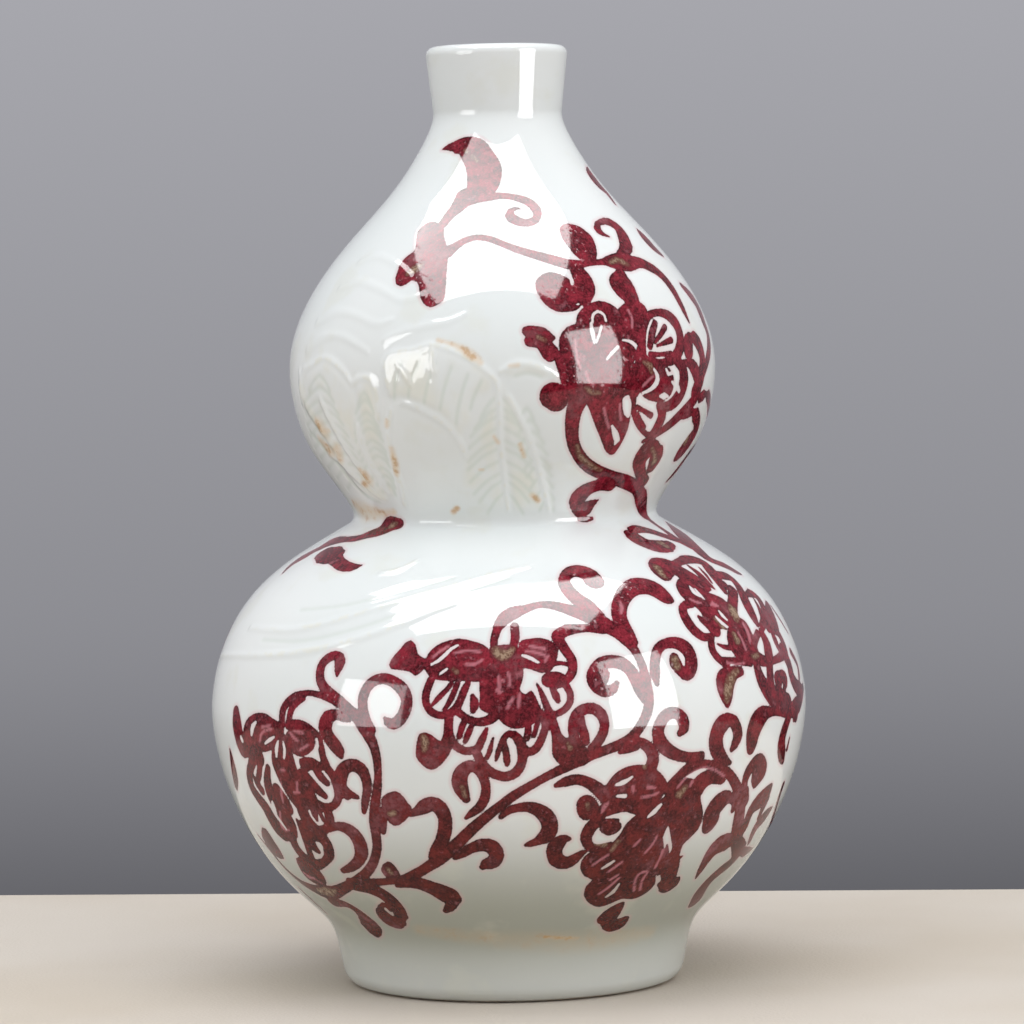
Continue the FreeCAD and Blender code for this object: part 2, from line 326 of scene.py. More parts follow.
upper_flower = [
    ("fill", [(566, 346), (568, 334), (576, 329), (583, 321), (590, 312), (600, 309), (608, 312),
              (614, 318), (622, 326), (632, 333), (641, 345), (644, 358), (640, 372), (640, 385),
              (634, 394), (618, 396), (600, 398), (584, 402), (573, 402), (568, 390), (566, 372)]),
    ("fill", [(614, 318), (622, 305), (634, 300), (645, 306), (648, 318), (646, 332), (640, 340),
              (628, 334)]),
    ("ink", [(566, 350, 5), (564, 340, 5), (570, 331, 5), (580, 327, 5), (583, 317, 6),
             (590, 309, 5.5), (600, 306, 5), (609, 310, 6), (617, 318, 7)]),
    ("bare", [(592.5, 322, 1), (593, 315, 1.4), (598, 311.5, 1.4), (604, 315, 1.2), (606, 321, 1)]),
    ("bare", [(591, 323, 1.2), (592.5, 333, 2.2), (594.5, 343, 1.2)]),
    ("bare", [(601.5, 326, .8), (599, 335, 1.2), (596.5, 342, .7)]),
    ("bare", [(618, 347, 1.6), (612, 353, 1.8), (607, 359, .8)]),
    ("thin", [(575, 340, .5), (577, 355, .9), (580, 368, .5)]),
    ("thin", [(586, 372, .5), (590, 382, .8), (598, 388, .5)]),
    ("thin", [(628, 310, .6), (632, 318, 1), (632, 327, .6)]),
    ("bare", [(623, 340, .9), (629, 341, 1.6), (635, 345, 1.8), (638.5, 352, 1.8), (638.5, 359, 1.2),
              (635, 362, .7)]),
    ("ink", [(624, 350, 4), (633, 354, 4)]),
    ("ink", [(563, 345, 4), (566, 365, 4.5), (569, 385, 5), (571, 397, 5)]),
    ("ink", [(572, 399, 6), (590, 393, 6), (610, 390, 6), (632, 389, 6)]),
    ("ink", [(643, 352, 3.5), (642, 340, 4), (643, 326, 4.5), (648, 316, 4.5), (657, 312.5, 3.6),
             (666, 314.5, 3.8), (674, 321, 4), (679, 331, 3.4), (680.5, 342, 3.6), (678, 353, 4.5),
             (671, 360, 5), (660, 363, 4), (650, 360, 4)]),
    ("ink", [(650, 346, 3), (652, 334, 3.4), (655, 323, 2.8)]),
    ("ink", [(655, 342, 2), (661, 334, 2.6), (665, 327, 2.6)]),
    ("ink", [(657, 346, 1.6), (664, 343, 2.6), (671, 340, 3.8)]),
    ("ink", [(650, 354, 3), (660, 354.5, 2.6), (671, 353.5, 3)]),
    ("thin", [(655, 349.5, .6), (662, 350, .9), (668, 350.5, .6)]),
    ("ink", [(676, 360, 4), (682, 367, 4), (684, 380, 4.4), (680, 394, 4.6), (672, 404, 4.6),
             (662, 408, 4.4)]),
    ("fill", [(652, 362), (664, 364), (672, 372), (674, 384), (670, 396), (660, 402), (648, 400),
              (640, 392), (642, 378), (646, 368)]),
    ("fill", [(638, 345), (648, 356), (654, 366), (650, 374), (644, 386), (636, 398), (629, 396),
              (633, 380), (635, 362)]),
    ("bare", [(666, 369, .9), (668.5, 374, 1.6), (675, 372.5, 1.4)]),
    ("bare", [(672, 382, .8), (676.5, 385.5, 2.4), (679, 391, 1.4)]),
    ("bare", [(660, 396, 1.2), (664, 396, 3.6), (668, 396, 1.2)]),
    ("bare", [(654, 369, .9), (657.5, 376, 1.7), (656.5, 383, 2.2), (651, 389, 1.8), (643, 393, 1.3)]),
    ("thin", [(643, 386, .6), (649, 380, .9), (653, 376, .6)]),
    ("ink", [(633, 399, 3.5), (633, 408, 3), (635.5, 418, 3), (640, 427, 3), (646, 434, 3),
             (652, 434, 3.2), (658, 426, 4), (662, 415, 4), (660, 405, 4)]),
    ("ink", [(637, 407, 2.8), (644, 411, 2.8), (651, 415.5, 3.4)]),
    ("ink", [(637.5, 414, 2), (640.5, 421, 2.4), (643.5, 427.5, 3)]),
    ("fill", [(586, 398), (600, 394), (616, 394), (628, 398), (632, 406), (630, 420), (626, 434),
              (620, 446), (613, 455), (606, 452), (601, 440), (596, 428), (590, 412)]),
    ("clear", [(623.5, 397), (630.5, 399), (631, 410), (629, 418), (624, 414), (622.5, 405)]),
    ("bare", [(612, 426, 1), (615, 433, 3), (617, 440, 2.6), (615, 444, 1)]),
    ("thin", [(604, 408, .6), (606, 418, 1), (609, 428, .6)]),
    ("thin", [(620, 404, .6), (620, 412, 1), (621, 420, .6)]),
    ("ink", [(580, 398, 9), (574, 412, 8), (572, 428, 7), (573, 441, 6.5), (577, 452, 6.5),
             (585, 463, 6.8), (597, 471, 6.5), (612, 477, 6), (628, 483, 7.3), (639, 492, 6),
             (642, 504, 4), (644, 513, 3), (651, 521, 1.8), (664, 530, 1.8), (680, 541, 3),
             (700, 552, 2)]),
    ("core", [(577, 446, 2), (580, 456, 3), (590, 465, 3), (601, 470, 2)]),
    ("ink", [(553, 396, 14), (556, 399, 13)]),
    ("ink", [(527, 331, 5), (533, 333, 7.5), (541, 336, 9), (548, 338, 6), (553, 338, 2.6)]),
    ("ink", [(530, 341, 6), (540, 344, 5), (548, 354, 6.5), (550, 356, 6)]),
    ("ink", [(550, 344, 3), (556, 353, 4), (561, 368, 4), (566, 385, 4.5)]),
    ("core", [(538, 337, 2), (545, 340, 2.5)]),
    ("core", [(586, 388, 2), (592, 392, 3), (600, 393, 2)]),
    ("core", [(644, 362, 2), (650, 366, 3), (652, 372, 2)]),
    ("ink", [(688.5, 350.5, 4.6), (688.5, 342, 4.4), (692, 336.5, 3.6), (698, 343, 4),
             (702, 355, 3.6), (702.5, 367, 4), (700, 380, 4.6), (695, 392, 4)]),
    ("ink", [(680, 363, 3), (689, 363, 4), (695, 370, 4), (698, 380, 3.4)]),
    ("ink", [(643, 441.5, 1.6), (655, 435, 2.4), (668, 426, 3), (680, 415, 3.4), (690, 405, 3.4),
             (697, 395, 3), (702, 380, 2)]),
    ("ink", [(700, 398, 2.5), (706, 394, 3), (709, 400, 3), (708, 415, 3), (706, 430, 3.4),
             (700, 441, 3), (693, 450, 2)]),
    ("ink", [(677, 418, 1.5), (685, 414, 3.6), (693, 412, 4), (697, 420, 3.4), (695, 432, 4.4),
             (688, 443, 5.8), (681, 452, 5), (676, 458, 1.8)]),
    ("core", [(689, 434, 1.6), (685, 443, 2)]),
    ("ink", [(644, 482, 5), (640, 470, 5), (641, 459, 6), (649, 449, 7), (656, 449, 6),
             (656, 458, 5), (652, 467, 3.4)]),
    ("core", [(652, 449, 2.4), (655, 456, 2), (654, 462, 2)]),
    ("ink", [(667, 481, 1), (675, 472, 2.4), (682, 463, 3), (690, 452, 3), (696, 445, 1.8)]),
    ("ink", [(611, 486, 5), (600, 485, 5.4), (588, 489, 6), (579.5, 496, 7.4), (577, 504, 7.4),
             (582, 510, 8), (590, 505, 4.4), (598, 500, .8)]),
    ("ink", [(579, 519.5, 2), (586, 519.5, 3), (592, 518.5, 2)]),
]
shoulder_scroll = [
    ("ink", [(680, 541, 3), (665, 536, 3), (650, 531, 3), (638, 529, 3.4), (631, 532, 3.4),
             (636, 538, 5), (645, 543, 5), (655, 546, 5.4), (664, 546, 5), (670, 544, 3)]),
    ("core", [(661, 543, 2.4), (666, 546, 2)]),
    ("ink", [(668, 523, 1.5), (678, 531, 4.6), (688, 541, 5.4), (698, 550, 4.6), (706, 557, 4),
             (716, 562, 2.8), (726, 566, 3), (735, 571, 2.4), (741, 574, .8)]),
    ("ink", [(283, 573, .8), (290, 566, 2.5), (298, 560, 4), (307, 555, 4.2), (315, 550.5, 3.2),
             (322, 547, 3.6), (329, 543, 5), (336, 541, 4), (346, 539.5, 2.6), (358, 538, 3),
             (370, 534, 4), (380, 531, 5), (390, 526.5, 6), (398, 525, 5)]),
    ("ink", [(324, 553, 5), (333, 556.5, 8), (338, 562, 6.2), (344, 566, 4.6), (352, 567.6, 3.2),
             (361, 565.5, .8)]),
    ("core", [(392, 526, 2.6), (396, 524, 2)]),
    ("fill", [(648, 563), (652, 558), (662, 558), (674, 562), (684, 568), (696, 575), (706, 583),
              (712, 590), (704, 593), (692, 589), (682, 581), (675, 575), (671, 580), (665, 581),
              (657, 576), (651, 570)]),
    ("core", [(657, 567, 2.6), (661, 573, 2.4), (665, 577, 1.6)]),
    ("ink", [(676, 563.5, 3), (686, 559.5, 3.2), (696, 560, 3.2), (705, 564, 3.4), (712, 572, 4.2),
             (719, 582, 3.4), (725, 592, 1.6)]),
    ("ink", [(688, 565.5, .8), (698, 573, 2), (707, 582, 2), (714, 588.5, .9)]),
    ("ink", [(699, 567.5, .6), (706, 575, 1.2), (712, 583, .6)]),
    ("fill", [(676, 583), (680, 578), (690, 583), (702, 590), (713, 594), (722, 598), (730, 606),
              (735, 615), (738, 625), (733, 632), (723, 629), (713, 631), (706, 624), (701, 613),
              (694, 606), (688, 602), (681, 596), (677, 589)]),
    ("bare", [(690, 586.5, .7), (694, 592, 1.7), (699, 596, .8)]),
    ("bare", [(695, 589, .6), (701, 596, 1.2), (704, 599, .6)]),
    ("thin", [(690, 599, .6), (696, 602, 1), (701, 603, .6)]),
    ("thin", [(711, 605, 1), (714, 604, 2), (718, 606, .8)]),
    ("bare", [(719, 611, .7), (722, 615, 1.4), (727, 620, .7)]),
    ("bare", [(716, 617, .8), (722, 623, 1.4), (730, 629, .8)]),
    ("core", [(716, 619, 2), (723, 627, 2)]),
    ("ink", [(690, 604, 4), (683.5, 606, 4.2), (683.5, 613, 4), (688, 622, 4.4), (695, 631, 4.4),
             (704, 637, 4), (712, 636, 3.6)]),
    ("ink", [(699, 617, 1.6), (702, 620, 2.6), (708, 624, 4), (715, 630, 5)]),
    ("ink", [(711, 640, 3.2), (712.5, 650, 3.4), (718, 658, 3.4), (727, 665, 3.4)]),
    ("ink", [(717, 643.5, .9), (724, 647, 2.2), (733, 648, 3)]),
    ("fill", [(728, 628), (734, 617), (744, 620), (751, 631), (756, 644), (759, 656), (752, 664),
              (742, 662), (735, 656), (730, 648), (727, 639)]),
    ("thin", [(743, 623, .7), (748, 633, 1.3), (751.5, 647, .8)]),
    ("thin", [(738, 632, .6), (742, 640, .9), (746, 650, .6)]),
    ("ink", [(733, 590, 3.4), (733, 601, 3.8), (732, 612, 5), (735, 620, 5)]),
    ("core", [(731, 607, 2), (735, 614, 4), (736, 618, 3)]),
    ("core", [(734, 634, 2), (737, 640, 3)]),
    ("ink", [(719, 575, 3), (729, 577, 3), (737.5, 585, 3), (743, 595, 3.4), (748, 606, 4),
             (753, 616, 3.4), (757, 624, 1.8)]),
    ("ink", [(724, 584, 2.6), (727, 588, 1.6)]),
    ("ink", [(745, 600, 3), (746, 595, 2.8), (751, 593, 2.6), (758, 598, 2.8), (763, 607, 2.8),
             (765, 616, 2.8), (762, 627, 2.6)]),
    ("ink", [(754, 599, .7), (759, 608, 1.6), (762, 619, 1.2)]),
    ("ink", [(768, 604, 2), (771, 614, 4.6), (773, 625, 5.4), (768, 629, 4.6)]),
    ("ink", [(771, 606, .8), (779, 618, 1.2), (788, 633, .7)]),
    ("ink", [(758, 633, 2.6), (754, 645, 3), (756, 656, 4.4), (765, 661, 4.6), (775, 660, 4),
             (782, 656, 4)]),
    ("core", [(753, 657, 3), (758, 655, 3)]),
    ("ink", [(762, 633, 2.6), (767, 644, 3.6), (769, 655, 4)]),
    ("ink", [(772, 632, 2), (776, 642, 2.6), (779, 650, 1.2)]),
    ("ink", [(771, 629, 1.2), (778, 633, 2.6), (784, 645, 2.8), (786, 653, 3)]),
    ("ink", [(722, 659.5, 2.6), (736, 661, 3.6), (750, 662, 4.4)]),
    ("thin", [(727, 662.5, .6), (736, 664.5, 1), (744, 663, .6)]),
    ("fill", [(716, 680), (718, 672), (724, 667), (734, 666), (742, 667), (744, 675), (737, 679),
              (734, 688), (732, 700), (728, 709), (723, 703), (718, 692)]),
    ("core", [(737, 671, 3), (731, 679, 5), (728.5, 690, 4.6), (726.5, 700, 3)]),
    ("ink", [(756, 664, 3), (761, 679, 4.4), (768, 692, 5), (776, 702, 5), (786, 707, 6.4),
             (796, 707, 5), (801, 699, 3), (803, 687, 2)]),
    ("ink", [(769, 660, 3.4), (770, 672, 3.2), (771, 684, 3.6), (774, 695, 4), (780, 702, 4)]),
    ("ink", [(784, 689, 1.4), (785, 682, 2.8), (783, 676, 4.6), (778.5, 677, 4.6), (779, 688, 3),
             (782, 697, 4), (788, 704, 5)]),
    ("ink", [(783, 651, 4), (789, 664, 4), (792, 677, 4), (797, 687, 4), (802, 690, 3)]),
    ("ink", [(791, 652, 2.2), (797, 664, 1.8), (799, 675, 1.8), (799, 682, 1)]),
    ("ink", [(789, 714, 4), (796, 715, 3.4), (794, 718, 2)]),
    ("ink", [(789, 717, 3), (784.5, 730, 3.6), (781.5, 743, 4.2), (782, 754, 4), (783, 761, 1.8)]),
    ("ink", [(787, 749, 1.4), (789.5, 738, .8)]),
    ("ink", [(788, 716, 2), (777, 712, 4), (766, 713, 6), (758, 721, 7), (753.5, 732, 6.6),
             (752, 742, 5.4), (751, 748, 4)]),
]
middle_flower = [
    ("fill", [(389, 665), (393, 657), (400, 649), (406, 642), (411, 640), (416, 645), (418, 654),
              (424, 658), (428, 664), (421, 672), (415, 676), (410, 672), (398, 670), (391, 669)]),
    ("fill", [(424, 666), (428, 654), (436, 646), (447, 641), (460, 638.5), (473, 641), (484, 645),
              (491, 652), (492, 665), (490, 678), (478, 682), (462, 681), (446, 681), (433, 679),
              (427, 673)]),
    ("bare", [(431.5, 664.5, .8), (438, 661, 1.7), (445, 655, 1.7), (451, 649, 1.5), (457.5, 645.5, 1.2)]),
    ("thin", [(433, 657, .7), (440, 651.5, .9), (448, 646.5, .7)]),
    ("bare", [(440, 674, .8), (443.5, 671.5, 1.4), (447, 669, .8)]),
    ("thin", [(455, 653, .7), (468, 650.5, .9), (480, 652, .6)]),
    ("thin", [(466, 664, .9), (474, 664.5, 1.7), (482, 660, .8)]),
    ("core", [(453, 669, 2), (457, 672, 2.6)]),
    ("ink", [(431, 680, 4), (427, 690, 4), (425.5, 700, 4), (428, 708, 4), (434, 713.5, 4),
             (442, 715.5, 4), (450, 713, 4.4), (457, 708, 4.4)]),
    ("ink", [(432.5, 704.5, 2), (439.5, 697, 3), (446.5, 690, 2.6), (451, 684, 2.6)]),
    ("ink", [(444, 710, 2), (450, 701, 3), (454.5, 691, 3), (457.5, 683, 3)]),
    ("ink", [(455, 711, 4.4), (460.5, 700, 4), (464.5, 690, 4), (468, 683, 3)]),
    ("ink", [(458, 712, 4.4), (464, 716.5, 3.8), (471, 720.5, 4), (480, 722, 4.6), (489, 720, 5),
             (497, 713, 6)]),
    ("ink", [(472.5, 696, 2.6), (474.5, 704, 5), (473, 711, 3)]),
    ("ink", [(484, 682, 5), (484.5, 694, 5), (484, 706, 5)]),
    ("fill", [(484, 655), (490, 649), (500, 645), (512, 645), (521, 650), (523, 662), (523, 678),
              (520, 690), (526, 694), (531, 690), (536, 697), (541, 708), (549, 716), (548, 722),
              (538, 722), (530, 726), (518, 729), (508, 727), (500, 721), (494, 714), (484, 712),
              (480, 700), (481, 685), (485, 672)]),
    ("thin", [(496.5, 690, 1), (499.5, 691.5, 2.4), (502.5, 691, 1)]),
    ("thin", [(498.5, 676, .5), (499.5, 688, .8)]),
    ("thin", [(508, 673, 1), (510, 680, 1.6), (509, 686, .8)]),
    ("thin", [(502.5, 680, 1.1), (503.5, 681, 1.1)]),
    ("thin", [(507.5, 708, 1.2), (509.5, 704, 2), (513, 698, .8)]),
    ("thin", [(518.5, 707, .5), (519.5, 694, .7)]),
    ("core", [(495, 650, 4), (500, 654, 6), (506, 655, 5), (513, 649, 3)]),
    ("ink", [(494, 648, 4), (494, 640, 4), (497, 630, 4.4)]),
    ("ink", [(514.5, 626, 4.4), (515, 638, 4.6), (513, 648, 4)]),
    ("fill", [(519, 643), (530, 638.5), (541, 638), (551, 641), (557, 646), (558, 655), (555, 664),
              (551, 671), (542, 673), (532, 670), (521, 665)]),
    ("bare", [(522.5, 655.5, .8), (528, 657, 1.8), (534, 660, 1.6), (538.5, 662.5, .7)]),
    ("thin", [(530, 646, .6), (537, 647.5, 1.1), (544, 648.5, .6)]),
    ("thin", [(526, 651, .6), (536, 652.5, .9), (545, 655.5, .6)]),
    ("thin", [(545, 661, 1), (548, 656, 1.2)]),
    ("ink", [(557, 637, 5.6), (562, 645, 5.2), (567.5, 653, 4.8), (572.5, 661, 4.6),
             (572.5, 671, 4.8), (566.5, 680, 4.8), (558, 684, 4.6), (550, 682, 4.4)]),
    ("ink", [(552, 664, 3), (561, 663, 2.2), (570, 665, 2.4)]),
    ("fill", [(545, 673), (557, 671.5), (566, 676), (562, 684), (552, 688), (544, 686), (541, 680)]),
    ("ink", [(565, 684, 4), (570, 693, 3.6), (570, 702, 3.6), (564, 710, 3.6), (556, 714, 3.4)]),
    ("ink", [(552, 688, 2.6), (556, 696, 4.2), (558, 701, 2.8)]),
    ("ink", [(537, 684, 1.3), (541, 692, 2.6), (545, 702, 3.4), (549, 711, 4), (553, 716, 4)]),
    ("ink", [(450, 716, 4), (449, 728, 4.2), (450.5, 738, 4.2), (456, 746, 4.2), (465, 751, 4.2),
             (474, 750, 4), (480, 747, 3.4)]),
    ("ink", [(459, 737, 3), (462, 727, 3.6), (465.5, 719, 3)]),
    ("ink", [(465, 741.5, 2.6), (468.5, 733, 3.6), (472, 725, 2.6)]),
    ("ink", [(478.5, 747, 4), (483, 738, 4), (486.5, 729, 2.2)]),
    ("ink", [(476, 751, 4.4), (481, 762, 5), (488, 770, 5), (497, 775, 5), (507, 776.5, 5),
             (516, 772.5, 5.2), (521.5, 763, 5), (522.5, 752, 5.4), (520.5, 743, 5.4), (515, 735.5, 4.6),
             (509.5, 733.5, 3.4), (504, 738, 3.2), (500, 747, 3), (497, 756, 2.6), (496, 760.5, 1.6)]),
    ("ink", [(505, 742, 2), (506, 752, 3.6), (507, 761, 3.8), (507, 764.5, 2.6)]),
    ("ink", [(487, 758, 2.4), (490, 750, 2.9), (493, 738, 1.3)]),
    ("ink", [(523, 747, 4), (529, 752, 4.4), (536, 748.5, 4.4), (541.5, 739, 4.2), (545, 729, 4),
             (547, 720, 4.8)]),
    ("ink", [(527, 738, 3.4), (528, 729, 3.6), (528, 720, 3.4)]),
    ("ink", [(534, 736, 2.4), (536, 728, 2.8), (538, 721, 2.8)]),
    ("fill", [(419, 734), (424, 732), (432, 735), (440, 741), (447, 737), (452, 745), (450, 753),
              (444, 762), (437, 768), (430, 770), (422, 765), (416, 757), (416, 746)]),
    ("ink", [(449, 714, 4), (448, 724, 4.2), (448, 735, 5), (445.5, 745, 6)]),
    ("core", [(423, 736, 3.4), (425, 743, 4.6), (424, 751, 2.6)]),
    ("fill", [(549, 716), (556, 718), (559, 726), (562, 734), (566, 738), (572, 737), (578, 742),
              (584, 749), (592, 754), (587, 764), (575, 768), (565, 768), (557, 762), (552, 754),
              (552, 744), (551, 733), (548, 724)]),
    ("core", [(568, 744, 2), (570, 748, 3)]),
    ("ink", [(589, 757, 4), (581.5, 749, 4.4), (575, 739, 5), (573, 728, 5.4), (576, 716, 5.8),
             (584, 709.5, 5.8), (593, 708.5, 5.8), (601, 714, 5.8), (604.5, 723, 5), (603, 733, 5),
             (598, 742, 5), (592, 749, 5)]),
    ("ink", [(582, 718, 3), (582, 727, 4.4), (584.5, 735, 5), (586, 742, 4)]),
]
main_stem = [
    ("ink", [(337, 676, 1.2), (338, 670, 3.4), (340, 662, 5.4), (338, 656, 5), (331, 656.5, 4.4),
             (323, 663, 4), (320, 672, 4.2), (321, 682, 4.5), (326, 690, 5.4), (333, 697, 6.4),
             (341, 703, 6), (349, 710, 5.4), (357, 717, 6), (363, 726, 6.4), (369, 736, 5.8),
             (374, 747, 4.8), (377, 760, 4.2), (378, 775, 4), (377, 790, 4.6), (375, 805, 5),
             (374, 820, 5), (376, 835, 4.6), (377, 848, 4.5), (374, 861, 5), (368, 871, 5.4),
             (358, 880, 5.4), (346, 887, 5), (334, 892, 5), (322, 892, 4.4), (310, 887, 3),
             (300, 881, 2), (285, 868, 1.4), (270, 850, 1.1), (258, 835, .7)]),
    ("core", [(320, 891, 2.4), (329, 892, 3.4), (335, 890, 2)]),
    ("ink", [(371, 730, 5), (366, 720, 5), (363, 709, 5), (363, 698, 5), (367, 688, 5),
             (374, 681, 5.2), (384, 678.5, 5.6), (394, 682, 6), (402, 689, 6.4), (406.5, 699, 6),
             (405.5, 709, 6), (401, 718, 6), (394, 724, 5.8), (388, 722, 4.6), (384.5, 718, 1.8)]),
    ("ink", [(350, 721, 1.6), (343, 717, 5), (336, 714.5, 5.4), (328, 718, 7), (325, 727, 6.8),
             (328, 736, 6), (334, 744, 6.4), (339, 751, 5.4), (341, 756, 2.8)]),
    ("ink", [(347, 796, 3.6), (341, 789, 6), (340, 779, 7), (344, 769, 7), (352, 765, 6.4),
             (361, 769, 6), (366, 779, 5), (367, 790, 4.4), (365, 802, 4), (364, 812, 2.6)]),
    ("ink", [(341, 788, 6), (348, 793, 4.4), (357, 797, 2.4)]),
    ("ink", [(300, 889, 1.2), (313, 901, 1.8), (325, 912, 1.2)]),
    ("ink", [(352, 883, 4.4), (365, 883, 4), (380, 882, 3.4), (393, 881, 3.4), (404, 879, 4),
             (414, 875, 5), (427, 867.5, 5.4), (441, 858, 6.4), (455, 846, 6.4), (470, 831, 6),
             (485, 818, 5.4), (500, 806, 5), (515, 795, 5), (530, 786, 4.5), (546, 777, 4.5),
             (562, 769, 5), (578, 761, 6), (592, 755, 5.4), (606, 750, 5), (619, 745, 5.4),
             (630, 739, 5.4), (638, 730, 5), (643.5, 721, 5), (647.5, 711, 5), (649, 700, 5),
             (648, 690, 5), (646, 679, 4.6), (643, 668, 4.2), (639, 658, 4), (634, 649, 4.4),
             (627, 641, 5.4), (618, 633, 6), (608, 626.5, 7), (598, 620, 7), (588, 616, 6.8),
             (576, 612, 5.8), (562, 607.5, 4.8), (550, 605, 4), (538, 605, 3.4), (525, 609, 4.4),
             (513, 613, 6.6), (504, 619, 6.6), (498, 627, 5)]),
    ("ink", [(614, 628, 5), (602, 629, 5), (590, 628, 4.4), (578, 628.5, 4.4), (567, 630, 6),
             (558, 635, 6)]),
    ("ink", [(598, 616, 6), (588, 607, 7), (577, 599, 6.4), (568, 590, 6), (564, 580, 6),
             (569, 573, 5.4), (579, 571, 6), (589, 575, 7), (594, 581, 8)]),
    ("ink", [(634, 642, 4), (628, 633, 6), (622, 624, 7), (619, 614, 7.6), (620, 604, 8.4),
             (625, 594, 9), (634, 587, 8.4), (645, 586, 7.4), (656, 590, 7), (665, 597, 5.6),
             (671, 600, 2.4)]),
    ("thin", [(620, 602, 1.2), (622, 608, 2), (621, 613, 1)]),
    ("ink", [(646, 698, 6), (641, 690, 6.4), (636, 680, 6.4), (630, 670, 6), (622, 663.5, 6.4),
             (612, 661.5, 6.6), (602, 663.5, 7), (595, 669, 6), (592, 677, 6), (597, 686, 7),
             (606, 691, 6.4), (613, 689, 5), (617, 683, 2.8)]),
    ("fill", [(592, 668), (604, 668), (610, 673), (608, 682), (602, 688), (594, 684), (590, 676)]),
    ("ink", [(657, 684, 2.4), (655, 673, 5), (655, 660, 5), (658.5, 648.5, 5.4), (666, 643.5, 5.4),
             (676, 643, 6), (685, 647.5, 6.4), (690.5, 656, 6), (691, 667, 6.4), (687, 675, 6),
             (681, 671, 5), (676, 664, 6), (674.5, 658, 4.6)]),
    ("core", [(675, 660, 4), (677, 666, 4)]),
    ("ink", [(702, 754.5, 3.2), (692, 757, 5), (680, 756, 6), (668, 750, 7), (660, 741, 7),
             (658, 731, 6), (661, 722, 6), (667, 714.5, 6), (676, 713, 6), (682.5, 719, 6),
             (684, 728, 5), (680, 733, 3.4)]),
    ("ink", [(633, 741, 5), (642, 743, 5.4), (649, 748, 6), (653, 756, 6), (652, 765, 6),
             (648, 774, 6)]),
    ("ink", [(620, 752, 2.6), (627, 749.5, 4), (636, 747, 4)]),
    ("core", [(643, 762, 2), (645, 767, 3)]),
    ("ink", [(702, 757, 3), (692, 764, 4), (682, 773, 4), (673, 783, 4), (667, 791, 3)]),
    ("ink", [(354, 886, 4), (368, 888, 5), (382, 894, 5), (392, 902, 5), (399, 911, 5),
             (401, 919, 5.8), (394, 922, 5.4), (387, 918, 4.8), (382, 912, 3.8), (380.5, 907, 2.8),
             (384, 904.5, 2), (388, 907, 2), (390.5, 910.5, 1.2)]),
    ("ink", [(333, 902, 3.4), (345, 904, 2.5), (356, 910, 2.6), (365, 918, 4), (371, 926, 5.8),
             (375, 933, 2.8)]),
    ("ink", [(361, 918, .9), (366, 925, 3), (371, 931, 2.4)]),
    ("fill", [(381, 800), (386, 794), (396, 791), (403, 796), (408, 803), (412, 808), (408, 818),
              (401, 824), (394, 826), (387, 820), (383, 812)]),
    ("core", [(390, 814, 3), (394, 813, 3.2)]),
    ("ink", [(383, 832, 3), (383, 824, 4), (382, 812, 5)]),
    ("ink", [(410, 814, 3.4), (418, 811, 5), (424, 807, 7.6), (432, 803.5, 7), (440, 808, 7.4),
             (445, 819, 7), (444.5, 832, 7.4), (441, 843, 7), (436, 851, 6.6), (431, 857, 3)]),
    ("fill", [(383, 864), (388, 861), (394, 865), (399, 872), (401, 880), (392, 881), (384, 875),
              (381, 869)]),
    ("core", [(388, 869, 1.8), (391, 873, 1.8)]),
    ("ink", [(397, 886, 2), (408, 884, 4), (420, 884, 5.8), (432, 888, 6.4), (443, 893, 7.8),
             (451, 898, 8.4), (451, 906, 6), (446, 911, 2.8)]),
    ("ink", [(455, 858, 2.5), (462, 854, 4.4), (472, 848, 5.4), (483, 845, 6.4), (492, 847, 7.4),
             (497, 855, 7.4), (493, 862, 6.8), (487, 864, 5.6), (483, 867, 3.4)]),
    ("ink", [(466, 818, 2.2), (472, 813, 4), (479, 808, 4.8), (484, 800, 5.4), (486, 790, 5),
             (484, 779, 5), (478, 770, 5), (470, 766, 6), (462, 772, 7.6), (459.5, 781, 8.2),
             (462, 791, 7), (466, 799, 4.4)]),
    ("core", [(462, 787, 2.4), (465, 796, 2.6)]),
    ("ink", [(501, 817, 2.8), (508, 811, 4), (517, 808, 4.5), (528, 807, 5.4), (538, 810, 6.8),
             (546, 816, 8.2), (550, 826, 8.4), (547, 835, 7.8), (538, 841, 4.5), (530, 844, 3.4),
             (526, 845, 2)]),
    ("ink", [(569, 839, 2.5), (565, 838.5, 3.8), (558, 843, 7), (554, 851, 8), (557, 860, 8),
             (566, 863, 6), (574, 859, 5), (582, 853, 3), (587, 851, 1.1)]),
]
